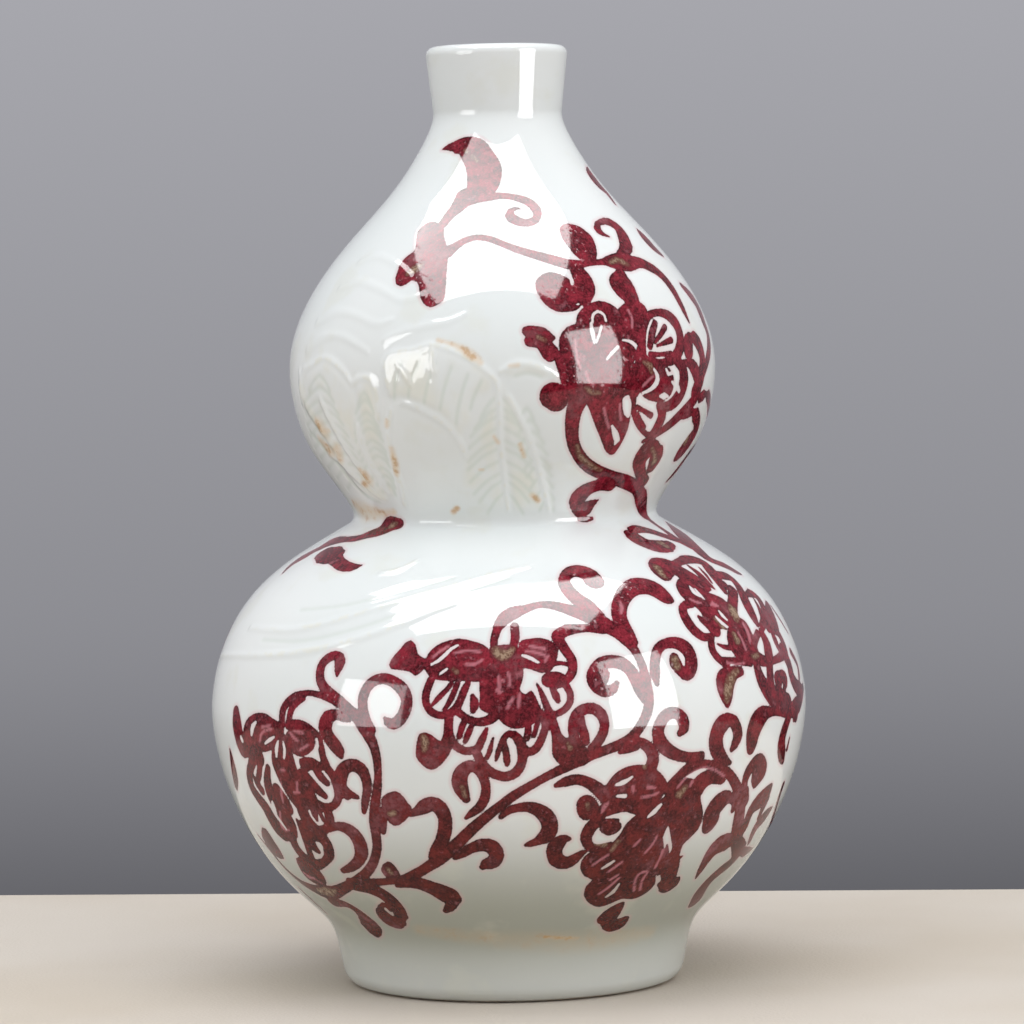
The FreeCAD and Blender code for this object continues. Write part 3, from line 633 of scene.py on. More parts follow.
left_flower = [
    ("ink", [(236, 713, 3.4), (237, 725, 5), (239, 736, 5), (243, 745, 6), (249, 750, 4)]),
    ("bare", [(241, 737.5, 1), (242.5, 741, 1)]),
    ("fill", [(246, 744), (243, 733), (246, 721), (253, 714), (264, 713), (274, 719), (283, 725),
              (284, 733), (280, 740), (275, 748), (266, 752), (258, 751), (251, 747)]),
    ("bare", [(251.5, 734.5, 1), (252.5, 727, 1.8), (256, 722, 1)]),
    ("thin", [(262, 727, .9), (270, 725.5, .7)]),
    ("thin", [(260, 741, .6), (260.5, 736, .9), (264, 731, .9), (272, 729, .6)]),
    ("bare", [(265, 743.5, .9), (269.5, 740, 1.8), (274, 737, .7)]),
    ("ink", [(282, 724, 3), (282.5, 712, 3.2), (287, 703, 3.4), (296, 695.5, 3.3), (308, 693, 3),
             (320, 695, 3.5), (331, 699, 4.4)]),
    ("ink", [(289, 724, 3), (290, 714, 3), (293, 706, 3.6), (298, 701, 4), (304, 699, 2.4)]),
    ("ink", [(288, 725, 5), (298, 724, 4.6), (308, 729, 4.6), (317, 737, 4), (321, 747, 3.4),
             (323, 757, 3.4), (326, 765, 4)]),
    ("fill", [(286, 733), (293, 727), (303, 728), (311, 733), (315, 741), (314, 749), (308, 755),
              (301, 757), (294, 754), (289, 747), (286, 740)]),
    ("thin", [(290, 732.5, .9), (294, 738, 1.4), (298, 741, .9)]),
    ("thin", [(294, 731, .7), (303, 733, .7)]),
    ("thin", [(300, 750, .7), (308, 745, .7)]),
    ("bare", [(316.5, 739, .8), (317.5, 746, 1.5), (314, 752, 2), (308, 756.5, 1.6), (303, 758, .7)]),
    ("fill", [(276, 738), (283, 733), (288, 740), (292, 752), (296, 765), (300, 778), (304, 790),
              (306, 803), (300, 811), (291, 801), (284, 790), (277, 776), (272, 762), (272, 748)]),
    ("bare", [(278.5, 741, .9), (276.5, 748, 1.6), (276.5, 757, .9)]),
    ("bare", [(283, 742, .9), (284.5, 750, 1.4), (284, 758, .9)]),
    ("ink", [(280.5, 742, 1.8), (280.5, 757, 1.8)]),
    ("thin", [(280.5, 770, 1.4), (284, 770, 1.6)]),
    ("fill", [(299, 759), (310, 757), (320, 762), (329, 768), (320, 771), (311, 770), (305, 774),
              (301, 768)]),
    ("ink", [(325, 766, 4), (332.5, 775, 4), (337, 786, 4.2), (338.5, 797, 4.2), (334, 805.5, 4.4),
             (325, 807.5, 4.4), (315, 804, 5)]),
    ("ink", [(303, 770, 2), (310, 780, 3.4), (317, 789, 4), (325, 796, 2.8)]),
    ("ink", [(316, 770, 3.4), (321, 777, 3.8), (327, 783, 3)]),
    ("ink", [(301, 800, 5), (303, 812, 5), (309, 823, 5), (317, 831, 5.4), (326, 829, 5),
             (330, 820, 4.4), (327, 810, 4)]),
    ("ink", [(312, 806, 3), (315, 815, 2.8), (317, 820, 1.4)]),
    ("ink", [(319, 811, 2.2), (323.5, 820, 1.9)]),
    ("ink", [(312, 835, 5), (321, 837, 5), (328, 847, 4.4), (328, 858, 5), (320, 864, 4.4),
             (310, 862, 4), (302, 855, 3.4), (295.5, 846, 3), (292, 837, 3)]),
    ("ink", [(303, 826, 4), (308, 837, 4), (313, 846, 3.4), (318, 851, 2)]),
    ("ink", [(297, 820, 1.2), (302, 832, 2), (307, 845, 2.3), (311, 856, 2.5)]),
    ("ink", [(253, 752, 6), (252, 762, 3.4), (249.5, 775, 2.8), (252, 787, 3), (258, 797, 3.3),
             (266, 808, 4), (272, 819, 4.4), (279, 829, 5), (286, 835, 4), (293, 834, 3.4)]),
    ("ink", [(255, 753, 6.6), (259, 758, 5)]),
    ("ink", [(260, 764, 2.4), (259, 775, 2.4), (257, 783, 2)]),
    ("ink", [(253.5, 776, 1), (257, 783, 2.2), (262, 790.5, 2.4)]),
    ("ink", [(268, 768, 2.4), (267.5, 780, 3.4), (270, 792, 4), (277, 806, 4.8), (284, 815, 5.6),
             (290, 825, 5), (293, 833, 3.4)]),
    ("ink", [(277, 790, 4), (284, 803, 5.6), (289, 809, 3.6)]),
    ("bare", [(272.5, 802, .9), (273.5, 808, 2), (276, 813, .9)]),
    ("thin", [(281, 783, .6), (281.5, 795, 1.1), (283, 802, .6)]),
    ("thin", [(280, 812, .5), (281, 824, 1), (285, 830, .8), (289, 830, .5)]),
    ("fill", [(283, 785), (292, 775), (300, 768), (305, 774), (312, 788), (318, 801), (312, 808),
              (303, 811), (295, 801), (289, 795)]),
    ("thin", [(297, 782, .7), (297.2, 791, 1)]),
    ("thin", [(294, 792.5, 1.1), (299.5, 792.5, 1.1)]),
    ("fill", [(296, 858), (301, 856), (309, 862), (318, 869), (325, 878), (326, 886), (316, 884),
              (306, 877), (299, 867)]),
    ("thin", [(304, 873, .7), (309, 877, 1), (314, 878, .7)]),
    ("fill", [(262, 827), (266, 829), (274, 841), (281, 852), (284, 859), (277, 857), (268, 847),
              (262, 836)]),
    ("ink", [(329, 829, 4), (336, 826.5, 4), (345, 828, 5), (354, 834, 5.8), (360, 844, 6.2),
             (361, 855, 6.5), (356, 864, 5.8), (348, 869, 4), (343, 871, 2.8)]),
    ("ink", [(230, 750, 1), (233, 765, 3), (235, 777, 3.4), (236, 787, 1.8)]),
]
lower_flower = [
    ("ink", [(556, 785.5, 2.6), (565, 782, 5), (577, 779.5, 5.4), (589, 783, 6), (599, 790, 7),
             (606, 798, 7)]),
    ("fill", [(577, 801), (584, 795), (592, 796), (598, 803), (600, 812), (592, 819), (583, 820),
              (577, 813)]),
    ("core", [(587, 804, 2.6), (588, 809, 2)]),
    ("ink", [(606, 795, 5), (612, 785, 5), (620, 776, 5), (630, 771, 5), (641, 770, 5.4),
             (651, 773, 6), (659, 780, 6), (665, 789, 5)]),
    ("fill", [(610, 790), (620, 778), (632, 772), (645, 776), (655, 784), (663, 795), (655, 805),
              (640, 815), (625, 812), (612, 815), (600, 818), (600, 806), (606, 798)]),
    ("bare", [(616, 785, .9), (622, 783, 2.6), (628, 780, 1.6), (632, 777, .7)]),
    ("bare", [(617, 796, 1.3), (625, 796, 2.2)]),
    ("thin", [(602, 812, .9), (605, 806, 2.2), (608, 803, .9)]),
    ("thin", [(633, 786, .9), (633, 792, .7)]),
    ("thin", [(648, 787, 2), (655, 788, 1.3)]),
    ("thin", [(642, 797, .6), (650, 796, .9), (658, 793, .6)]),
    ("ink", [(600, 818, 5), (591, 827, 6), (586, 838, 6), (590, 847, 5), (599, 849, 4.6),
             (610, 846, 4)]),
    ("ink", [(602, 829, 2.4), (610, 829, 6.4), (616, 827, 5)]),
    ("ink", [(600, 825, 3), (608, 822.4, 4), (617, 821, 2.4)]),
    ("fill", [(636, 815), (650, 806), (664, 797), (667, 789), (675, 783), (685, 778), (695, 780),
              (700, 790), (701, 800), (703, 814), (699, 828), (690, 838), (683, 845), (680, 854),
              (676, 866), (672, 876), (660, 880), (656, 874), (655, 884), (646, 893), (634, 899),
              (622, 899), (612, 903), (600, 907), (590, 904), (584, 896), (586, 886), (592, 880),
              (584, 876), (580, 866), (584, 857), (592, 851), (602, 850), (612, 843), (620, 834),
              (626, 824)]),
    ("clear", [(668, 826), (670.5, 836), (672, 848), (668, 854), (665, 848), (661, 851), (661, 843),
               (664, 835)]),
    ("ink", [(661, 837, 1.6), (662, 846, 1.6), (660, 855, 2)]),
    ("ink", [(667, 845, 1), (667, 856, 2.4)]),
    ("thin", [(593, 865, .6), (600, 860, 1), (608, 855, .7)]),
    ("bare", [(602, 868.5, .8), (608, 865, 1.5), (614, 861, .9)]),
    ("thin", [(608, 872, .7), (615, 867, 1.2), (622, 862, .7)]),
    ("thin", [(599, 894, .6), (609, 887, 1), (619, 878, .7)]),
    ("bare", [(606, 897, .8), (613, 892, 1.5), (619, 884, .9)]),
    ("thin", [(610, 880, .5), (618, 875, .6)]),
    ("thin", [(634, 891, .7), (635, 881, .9), (639, 874, .8), (646, 871.5, .6)]),
    ("thin", [(640, 890, .5), (642, 881, .8), (647, 873, .5)]),
    ("bare", [(648, 817, 1), (654, 812, 2.2), (661, 804.5, 1.2)]),
    ("thin", [(634, 846, .6), (640, 840, .9)]),
    ("thin", [(645, 853, .5), (652, 845, .9), (657, 836, .5)]),
    ("thin", [(655, 868, .5), (660, 858, .8), (663, 850, .5)]),
    ("core", [(597, 843, 3), (605, 845, 3)]),
    ("core", [(612, 850, 2.4), (618, 842, 2.4)]),
    ("core", [(680, 794, 4), (685, 788, 3)]),
    ("ink", [(660, 884, 3), (665, 887, 4.8), (672, 884, 4.4), (677, 879.5, 2)]),
    ("ink", [(668, 880, 6), (672, 868, 5.4), (677, 859, 2.6), (682, 856.5, .9)]),
    ("bare", [(659, 876, .8), (660, 880, .8)]),
    ("ink", [(622, 903.5, 1.6), (617, 908, 4), (611, 914, 6), (606, 921, 7), (610, 925, 6),
             (618, 924, 5), (624, 919.5, 2.8)]),
    ("ink", [(667, 790, 4), (676, 779, 4), (688, 770, 4.2), (702, 764, 4.4), (716, 766, 4.8),
             (727, 772, 5), (735, 783, 4.6), (739, 795, 4.6), (740, 806, 4)]),
    ("fill", [(690, 800), (690, 788), (695, 778), (704, 771), (715, 770), (724, 775), (726, 780),
              (721, 785), (712, 784), (705, 789), (700, 797)]),
    ("thin", [(678, 787, .7), (688, 776, 1), (702, 768.5, 1), (714, 769.5, 1), (724, 776, .8)]),
    ("thin", [(690, 786, .8), (692, 782, 1.4)]),
    ("ink", [(737, 804, 4), (732, 799, 5.2), (726, 798, 6), (719, 803, 7.2), (713, 811, 7),
             (711, 820, 7), (708, 827, 4.6)]),
    ("ink", [(735, 805, 3), (733, 810, 2)]),
    ("ink", [(742, 790, 4.4), (741, 803, 4.4), (739, 817, 4.4), (737, 831, 4.4), (737, 843, 4.4),
             (739, 851, 5.2), (731, 862, 4), (720, 871, 4), (709, 881, 4), (701, 891, 4.3),
             (695, 902, 4)]),
    ("ink", [(740, 850, 4), (746, 852, 3), (752, 849, 1)]),
    ("ink", [(733, 842, 2.4), (727, 842.5, 6), (719, 845, 5.8), (712, 852, 4.5), (706, 861, 3.2),
             (700, 871, 2), (696, 878, .7)]),
    ("ink", [(770, 788, 2.4), (765, 796, 5.2), (758, 802, 4.8), (752, 809, 3.6), (748, 818, 3),
             (745, 827, 2.7), (743, 833, 1.2)]),
    ("ink", [(766, 800, 3.4), (762, 810, 2.4), (759, 817, 1.8)]),
    ("ink", [(771, 809, 1.6), (765, 816, 4), (758, 824, 3.8), (753, 833, 2.8), (749, 843, 1.3)]),
    ("ink", [(783, 785, 2), (778, 800, 2), (772, 820, 2), (768, 832, .8)]),
    ("fill", [(741, 792), (743, 776), (749, 763), (757, 754), (763, 754), (767, 763), (765, 775),
              (758, 785), (753, 789), (751, 781), (752, 773), (748, 781), (747, 794), (745, 800)]),
    ("ink", [(745, 792, 3.4), (744, 802, 3.8), (740, 806, 2.8)]),
    ("ink", [(730, 763, 2.8), (724, 760, 6), (718, 752, 7), (716, 742, 7), (718, 731, 7),
             (724, 722.5, 7.4), (731, 719.5, 6.2), (736, 726, 5), (738, 735, 4.6), (735, 744, 3.8),
             (732, 749, 2.4)]),
]
paintings = (
    upper_leaf,
    upper_stem,
    upper_flower,
    shoulder_scroll,
    middle_flower,
    main_stem,
    left_flower,
    lower_flower,
)

# The carving, as lines of (x, y, half width) in pixels. A leaf is an outline that stands
# out whole. A ridge stands up, a swell rises gently and a groove is cut in. Rust is where
# the glaze is thin and stained, and faint is a weaker stain.
carving = [
    ("leaf", [(303, 402), (301, 384), (306, 370), (316, 363), (326, 357), (336, 362), (346, 374),
              (354, 386), (358, 402), (357, 420), (361, 440), (370, 460), (382, 482), (392, 498),
              (382, 505), (362, 494), (346, 474), (332, 452), (318, 430), (308, 416)]),
    ("leaf", [(353, 384), (361, 377), (371, 378), (378, 389), (381, 406), (382, 424), (385, 446),
              (391, 470), (399, 492), (392, 498), (378, 476), (366, 454), (360, 430), (356, 404)]),
    ("leaf", [(388, 398), (385, 378), (384, 362), (391, 353), (404, 350), (418, 348), (432, 343),
              (448, 346), (464, 353), (480, 362), (493, 374), (496, 386), (488, 396), (478, 398),
              (472, 408), (474, 420), (468, 430), (460, 440), (450, 428), (438, 416), (422, 408),
              (408, 402), (398, 400)]),
    ("leaf", [(497, 386), (499, 420), (500, 450), (504, 480), (508, 512), (480, 512), (462, 508),
              (458, 490), (460, 470), (466, 448), (476, 428), (486, 408)]),
    ("leaf", [(500, 378), (512, 398), (524, 422), (534, 450), (542, 480), (549, 510), (530, 514),
              (512, 512), (506, 486), (503, 456), (501, 420)]),
    ("leaf", [(500, 370), (514, 362), (532, 362), (548, 368), (560, 378), (546, 380), (528, 376),
              (512, 380)]),
    ("ridge", [(303, 402, 3), (302, 385, 4), (305, 371, 4), (314, 364, 4), (324, 358, 4),
               (334, 362, 4), (345, 373, 4), (352, 384, 3)]),
    ("ridge", [(352, 384, 3), (360, 378, 5), (370, 379, 5), (376, 390, 4), (378, 405, 4),
               (379, 420, 3)]),
    ("ridge", [(390, 392, 4), (387, 378, 5), (385, 364, 5), (390, 355, 5), (402, 352, 5),
               (416, 350, 5), (430, 345, 5), (446, 348, 5), (462, 355, 5), (478, 364, 5),
               (492, 376, 4), (498, 384, 3)]),
    ("ridge", [(398, 366, 3), (404, 372, 4), (409, 381, 4), (412, 386, 2)]),
    ("ridge", [(432, 350, 4), (433, 362, 4), (434, 374, 3)]),
    ("ridge", [(400, 402, 3), (410, 405, 4), (424, 411, 5), (440, 420, 5), (452, 431, 5),
               (462, 446, 5), (466, 458, 3)]),
    ("ridge", [(500, 372, 3), (514, 364, 5), (530, 364, 5), (545, 370, 4), (556, 376, 2)]),
    ("ridge", [(497, 384, 4), (499, 400, 4), (500, 420, 4), (500, 440, 4), (503, 465, 4),
               (506, 490, 4), (508, 510, 3)]),
    ("ridge", [(508, 396, 3), (518, 414, 4), (528, 436, 5), (536, 460, 5), (543, 485, 5),
               (549, 508, 4)]),
    ("ridge", [(391, 410, 3), (389, 430, 4), (391, 450, 4), (396, 470, 4), (402, 490, 4),
               (405, 505, 3)]),
    ("ridge", [(358, 425, 3), (361, 440, 4), (368, 458, 4), (378, 476, 4), (388, 492, 3)]),
    ("ridge", [(322, 400, 3), (330, 418, 3), (342, 440, 3), (355, 460, 3), (370, 480, 3),
               (386, 498, 2)]),
    ("ridge", [(330, 455, 3), (342, 462, 4), (354, 474, 4), (368, 486, 4), (384, 498, 3)]),
    ("swell", [(308, 350, 4), (322, 338, 6), (340, 336, 6), (356, 344, 5), (368, 352, 3)]),
    ("swell", [(318, 322, 4), (338, 312, 6), (358, 316, 6), (376, 324, 6), (392, 320, 4)]),
    ("swell", [(340, 288, 3), (360, 282, 6), (382, 290, 6), (402, 300, 6), (422, 296, 4)]),
    ("swell", [(384, 340, 4), (402, 332, 6), (424, 326, 6), (448, 322, 5), (466, 314, 3)]),
    ("swell", [(360, 262, 3), (378, 256, 5), (396, 264, 5), (410, 276, 3)]),
    ("swell", [(300, 372, 3), (302, 390, 5), (310, 410, 5), (322, 430, 4)]),
    ("groove", [(310, 432, 2), (322, 446, 3), (336, 462, 3), (350, 480, 3), (366, 495, 3),
                (380, 502, 2)]),
    ("groove", [(394, 400, 1), (396, 380, 2), (402, 362, 1)]),
    ("groove", [(408, 398, 1), (412, 380, 2), (420, 362, 1)]),
    ("groove", [(424, 404, 1), (428, 384, 2), (436, 362, 1)]),
    ("groove", [(440, 410, 1), (444, 390, 2), (452, 366, 1)]),
    ("groove", [(456, 424, 1), (460, 400, 2), (468, 374, 1)]),
    ("groove", [(470, 410, 1), (474, 396, 2), (482, 380, 1)]),
    ("groove", [(514, 376, 1), (528, 373, 2), (542, 377, 1)]),
    ("ridge", [(222, 655, 2), (262, 655, 4), (300, 652, 5), (340, 644, 5), (375, 633, 5),
               (402, 624, 4), (430, 612, 4), (458, 603, 3)]),
    ("ridge", [(250, 628, 2), (290, 630, 4), (330, 622, 4), (370, 610, 4), (410, 598, 4),
               (450, 587, 4), (490, 575, 4), (530, 566, 2)]),
    ("ridge", [(380, 573, 2), (398, 570, 3), (417, 561, 2)]),
    ("groove", [(262, 640, 1), (300, 641, 2), (340, 633, 2), (380, 621, 2), (420, 606, 1)]),
    ("groove", [(300, 610, 1), (340, 606, 2), (380, 597, 2), (420, 586, 2), (455, 578, 1)]),
    ("groove", [(430, 600, 1), (470, 589, 2), (510, 578, 1)]),
    ("rust", [(320, 424, 6), (324, 430, 8), (330, 430, 4)]),
    ("rust", [(320, 440, 4), (332, 452, 7), (338, 446, 6), (340, 456, 5)]),
    ("rust", [(362, 470, 4), (368, 478, 7), (366, 484, 6)]),
    ("rust", [(358, 508, 8), (372, 512, 10), (384, 514, 8), (394, 512, 6)]),
    ("rust", [(387, 421, 4), (387, 426, 4)]),
    ("rust", [(392, 448, 4), (395, 462, 5), (397, 474, 4)]),
    ("rust", [(438, 340, 4), (452, 344, 4), (464, 350, 7), (474, 357, 8), (481, 363, 5)]),
    ("rust", [(510, 366, 4), (518, 365, 4)]),
    ("rust", [(453, 512, 5), (457, 508, 5)]),
    ("rust", [(480, 469, 2.4), (483, 469, 2.4)]),
    ("rust", [(520, 444, 4), (524, 456, 4)]),
    ("rust", [(494, 436, 3), (498, 442, 4)]),
    ("rust", [(532, 494, 5), (538, 500, 5)]),
    ("faint", [(420, 930, 8), (480, 937, 12), (550, 940, 16), (600, 939, 15), (650, 932, 8)]),
    ("rust", [(545, 937, 3), (560, 938, 4), (578, 938, 3)]),
]


def veins(rib, reach, fall, count):
    """Grooves that leave a leaf's rib on both sides and bend down towards its edge."""
    line = smoothed(rib)
    for i in range(1, count + 1):
        x, y = line[len(line) * i // (count + 1)]
        spread = reach * math.sin(math.pi * i / (count + 1)) ** 0.5
        for side in (-spread, spread):
            yield "groove", [(x, y, 1), (x + side / 2, y + fall / 3, 1.6), (x + side, y + fall, 1)]


carving += veins([(498, 388), (500, 420), (502, 460), (506, 500)], 34, 22, 10)
carving += veins([(524, 400), (534, 440), (542, 480), (548, 506)], 13, 12, 9)
carving += veins([(364, 384), (368, 420), (378, 455), (392, 490)], 14, 14, 11)
carving += veins([(320, 368), (322, 396), (336, 436), (362, 480)], 20, 16, 10)

# A sprig grows up each side, just out of the picture's view, as brush lines of (mm towards
# the back, mm high, half width in mm). It is made up, and on the right it joins the scroll.
side_turn = math.radians(94)
side_sprig = [
    [(-8, 53, 1.6), (-3, 64, 2.4), (2, 76, 2.6), (3, 90, 2.6), (-1, 104, 2.6), (-4, 118, 2.4),
     (-2, 132, 2.2), (4, 142, 2.2), (10, 145, 2.2), (14, 140, 2), (12, 134, 2), (8, 134, 1.8)],
    [(2, 78, 1.4), (-6, 83, 2.2), (-12, 91, 2.4), (-12, 100, 2.4), (-7, 103, 2.2), (-5, 99, 1.8)],
    [(3, 92, 1.2), (9, 98, 3), (14, 108, 3.4), (14, 119, 0.8)],
    [(-4, 118, 1.2), (-10, 124, 2.8), (-14, 134, 3.2), (-13, 144, 0.7)],
    [(1, 70, 1.2), (8, 73, 2.8), (14, 80, 3), (17, 89, 0.7)],
]
right_joins = [
    [(-22, 55, 1.4), (-14, 52.6, 1.6), (-6, 53, 1.8), (0, 53.4, 1.8), (6, 55, 1.4)],
    [(-11, 213, 1.8), (-4.5, 215.5, 2), (2, 213, 1.8)],
]


# Every line is laid on twice: where the picture shows it, and mirrored round the back,
# where the picture shows nothing.
reach_past_edge_mm = 3.0
wash_edge_mm = 0.45
pooled_edge_mm = 2.6
pale_load = 0.3
width_limit = 2.2
pixels_at_once = 4000
thinnest_line_mm = 0.5
thinnest_carving_mm = 1.2
leaf_height_mm = 0.5
leaf_slope_mm = 4.0
ridge_height_mm = 0.6
swell_height_mm = 0.34
faint_rust = 0.4
groove_depth_mm = 0.24
softening_passes = 2
tiny = 1e-9

edge = np.full((row_count, column_count), -reach_past_edge_mm)
load = np.ones((row_count, column_count))
pooled = np.zeros((row_count, column_count))
leaf = np.zeros((row_count, column_count))
raised = np.zeros((row_count, column_count))
sunken = np.zeros((row_count, column_count))
swollen = np.zeros((row_count, column_count))
rusted = np.zeros((row_count, column_count))
mm_per_pixel = camera_distance_mm / focus_pixels


def wrapped(angle):
    return (angle + math.pi) % (2 * math.pi) - math.pi


def eased(share):
    share = np.clip(share, 0, 1)
    return share * share * (3 - 2 * share)


def near(angles, runs, reach):
    """The net's rows and columns round some places on the surface, or None."""
    first = np.searchsorted(outside_run, runs.min() - reach)
    last = np.searchsorted(outside_run, runs.max() + reach)
    if first == last:
        return None
    picked_rows = np.arange(first, last)
    spread = angles[0] + wrapped(angles - angles[0])
    spare = reach / row_radius[picked_rows].min()
    low = ((spread.min() - spare) / (2 * math.pi) + 0.5) * column_count
    high = ((spread.max() + spare) / (2 * math.pi) + 0.5) * column_count
    return picked_rows, np.arange(math.floor(low), math.ceil(high) + 1) % column_count


def lay(kind, inside, place):
    """Works a shape into the net, from how far inside its edge each point of it lies."""
    if kind in ("ink", "fill"):
        edge[place] = np.maximum(edge[place], inside)
        load[place] = np.where(inside > 0, 1, load[place])
    elif kind in ("bare", "clear"):
        edge[place] = np.minimum(edge[place], -inside)
    elif kind == "thin":
        faded = np.clip(0.5 + inside / wash_edge_mm, 0, 1)
        load[place] = np.minimum(load[place], 1 - (1 - pale_load) * faded)
    elif kind == "core":
        soft = np.clip(0.5 + inside / pooled_edge_mm, 0, 1)
        pooled[place] = np.maximum(pooled[place], soft)
    elif kind == "leaf":
        leaf[place] = np.maximum(leaf[place], eased(inside / leaf_slope_mm))


def lay_line(kind, angle, run, half_width):
    reach = reach_past_edge_mm + half_width.max()
    radius_there = np.interp(run, outside_run, outside_radius)
    for i in range(len(angle) - 1):
        found = near(angle[i : i + 2], run[i : i + 2], reach)
        if found is None:
            continue
        place = np.ix_(*found)
        radius = row_radius[found[0]][:, None]
        across = wrapped(column_angle[found[1]] - angle[i])[None, :] * radius
        along = (row_run[found[0]] - run[i])[:, None]
        end_across = wrapped(angle[i + 1] - angle[i]) * radius_there[i + 1]
        end_along = run[i + 1] - run[i]
        length_squared = max(end_across**2 + end_along**2, tiny)
        share = np.clip((across * end_across + along * end_along) / length_squared, 0, 1)
        away = np.hypot(across - share * end_across, along - share * end_along)
        width = half_width[i] + share * (half_width[i + 1] - half_width[i])
        if kind in surface_shapes:
            shaped = surface_shapes[kind]
            strength = faint_rust if kind == "faint" else 1
            shaped[place] = np.maximum(shaped[place], eased(1 - away / width) * strength)
        else:
            lay(kind, width - away, place)


def lay_outline(kind, angle, run):
    found = near(angle, run, reach_past_edge_mm)
    if found is None:
        return
    radius = row_radius[found[0]][:, None]
    across = (wrapped(column_angle[found[1]] - angle[0])[None, :] * radius)[..., None]
    along = np.broadcast_to(row_run[found[0]][:, None, None], across.shape)
    start_x = wrapped(angle - angle[0]) * np.interp(run, outside_run, outside_radius)
    side_x = np.roll(start_x, -1) - start_x
    side_y = np.roll(run, -1) - run
    share = (across - start_x) * side_x + (along - run) * side_y
    share = np.clip(share / np.maximum(side_x**2 + side_y**2, tiny), 0, 1)
    away = np.hypot(across - start_x - share * side_x, along - run - share * side_y)
    straddles = (run > along) != (np.roll(run, -1) > along)
    slope = side_x / np.where(side_y == 0, tiny, side_y)
    crosses = straddles & (across < start_x + (along - run) * slope)
    within = crosses.sum(axis=-1) % 2 == 1
    away = away.min(axis=-1)
    lay(kind, np.where(within, away, -away), np.ix_(*found))


surface_shapes = {"ridge": raised, "groove": sunken, "swell": swollen}
surface_shapes |= {"rust": rusted, "faint": rusted}
outlined = ("fill", "clear", "leaf")
lines = []
for kind, points in [shape for part in (*paintings, carving) for shape in part]:
    if kind in outlined:
        line = smoothed([(x, y, 0) for x, y in points], closed=True)
    else:
        line = smoothed(points)
    heading = np.gradient(line[:, :2], axis=0)
    heading /= np.maximum(np.linalg.norm(heading, axis=1), tiny)[:, None]
    side = np.stack([-heading[:, 1], heading[:, 0]], axis=1) * line[:, 2:]
    lines.append((kind, line, side))
centres = np.concatenate([line[:, :2] for _, line, _ in lines])
sides = np.concatenate([side for _, _, side in lines])
pixels = np.concatenate([centres, centres + sides, centres - sides])
batches = np.array_split(pixels, len(pixels) // pixels_at_once + 1)
laid_angle, laid_run = np.concatenate([laid_on(batch) for batch in batches], axis=1)
centre_angle, first_angle, second_angle = laid_angle.reshape(3, -1)
centre_run, first_run, second_run = laid_run.reshape(3, -1)
across = wrapped(first_angle - second_angle) * np.interp(centre_run, outside_run, outside_radius)
half_widths = np.hypot(across, first_run - second_run) / 2
half_widths = np.minimum(
    half_widths, np.linalg.norm(sides, axis=1) * mm_per_pixel * width_limit
)
line_kinds = np.concatenate([np.full(len(line), kind) for kind, line, _ in lines])
thin_lines = np.isin(line_kinds, ("bare", "thin"))
carved_lines = np.isin(line_kinds, ("ridge", "groove"))
half_widths[thin_lines] = np.maximum(half_widths[thin_lines], thinnest_line_mm)
half_widths[carved_lines] = np.maximum(half_widths[carved_lines], thinnest_carving_mm)

start = 0
for kind, line, _ in lines:
    picked = slice(start, start + len(line))
    start += len(line)
    for angle in (centre_angle[picked], wrapped(math.pi - centre_angle[picked])):
        if kind in outlined:
            lay_outline(kind, angle, centre_run[picked])
        else:
            lay_line(kind, angle, centre_run[picked], half_widths[picked])
for side, sprig in ((1, side_sprig + right_joins), (-1, side_sprig)):
    for points in sprig:
        line = smoothed(points, step_pixels=1.0)
        run = np.interp(line[:, 1], outside_rows, outside_run)
        turn = line[:, 0] / np.interp(run, outside_run, outside_radius)
        lay_line("ink", wrapped(side * (side_turn + turn)), run, line[:, 2])
edge = np.clip(edge, -reach_past_edge_mm, reach_past_edge_mm)
for layer in (leaf, raised, sunken, swollen):
    for _ in range(softening_passes):
        layer += (np.roll(layer, 1, axis=1) + np.roll(layer, -1, axis=1)) / 2
        layer /= 2
        layer[1:-1] = (layer[:-2] + 2 * layer[1:-1] + layer[2:]) / 4
relief = leaf * leaf_height_mm + raised * ridge_height_mm + swollen * swell_height_mm
relief -= sunken * groove_depth_mm

# The coat is a closed solid: its face as one net, and a coarser back on the bare body.
back_step = 4
back_strip = 0.04
face = rows[:, None, :] + relief[..., None] * row_outward[:, None, :]
sunk = rows - glaze_thickness_mm * row_outward
back = np.concatenate([sunk[:0:-back_step], sunk[:1]])
net = np.concatenate([face, np.repeat(back[:, None, :], column_count, axis=1)])
net_radius = net[..., 0]
vertices = np.stack(
    [net_radius * np.sin(column_angle), -net_radius * np.cos(column_angle), net[..., 1]],
    axis=-1,
)
index = np.arange(net_radius.size).reshape(net_radius.shape)
index_above = np.roll(index, -1, axis=0)
corners = np.stack(
    [index, np.roll(index, -1, axis=1), np.roll(index_above, -1, axis=1), index_above],
    axis=-1,
).reshape(-1, 4)
glaze_mesh = bpy.data.meshes.new("painted_glaze")
glaze_mesh.vertices.add(net_radius.size)
glaze_mesh.vertices.foreach_set("co", np.float32(vertices * metres_per_mm).ravel())
glaze_mesh.loops.add(corners.size)
glaze_mesh.loops.foreach_set("vertex_index", np.int32(corners.ravel()))
glaze_mesh.polygons.add(len(corners))
glaze_mesh.polygons.foreach_set("loop_start", np.arange(0, corners.size, 4, dtype=np.int32))
glaze_mesh.polygons.foreach_set("use_smooth", np.ones(len(corners), dtype=bool))

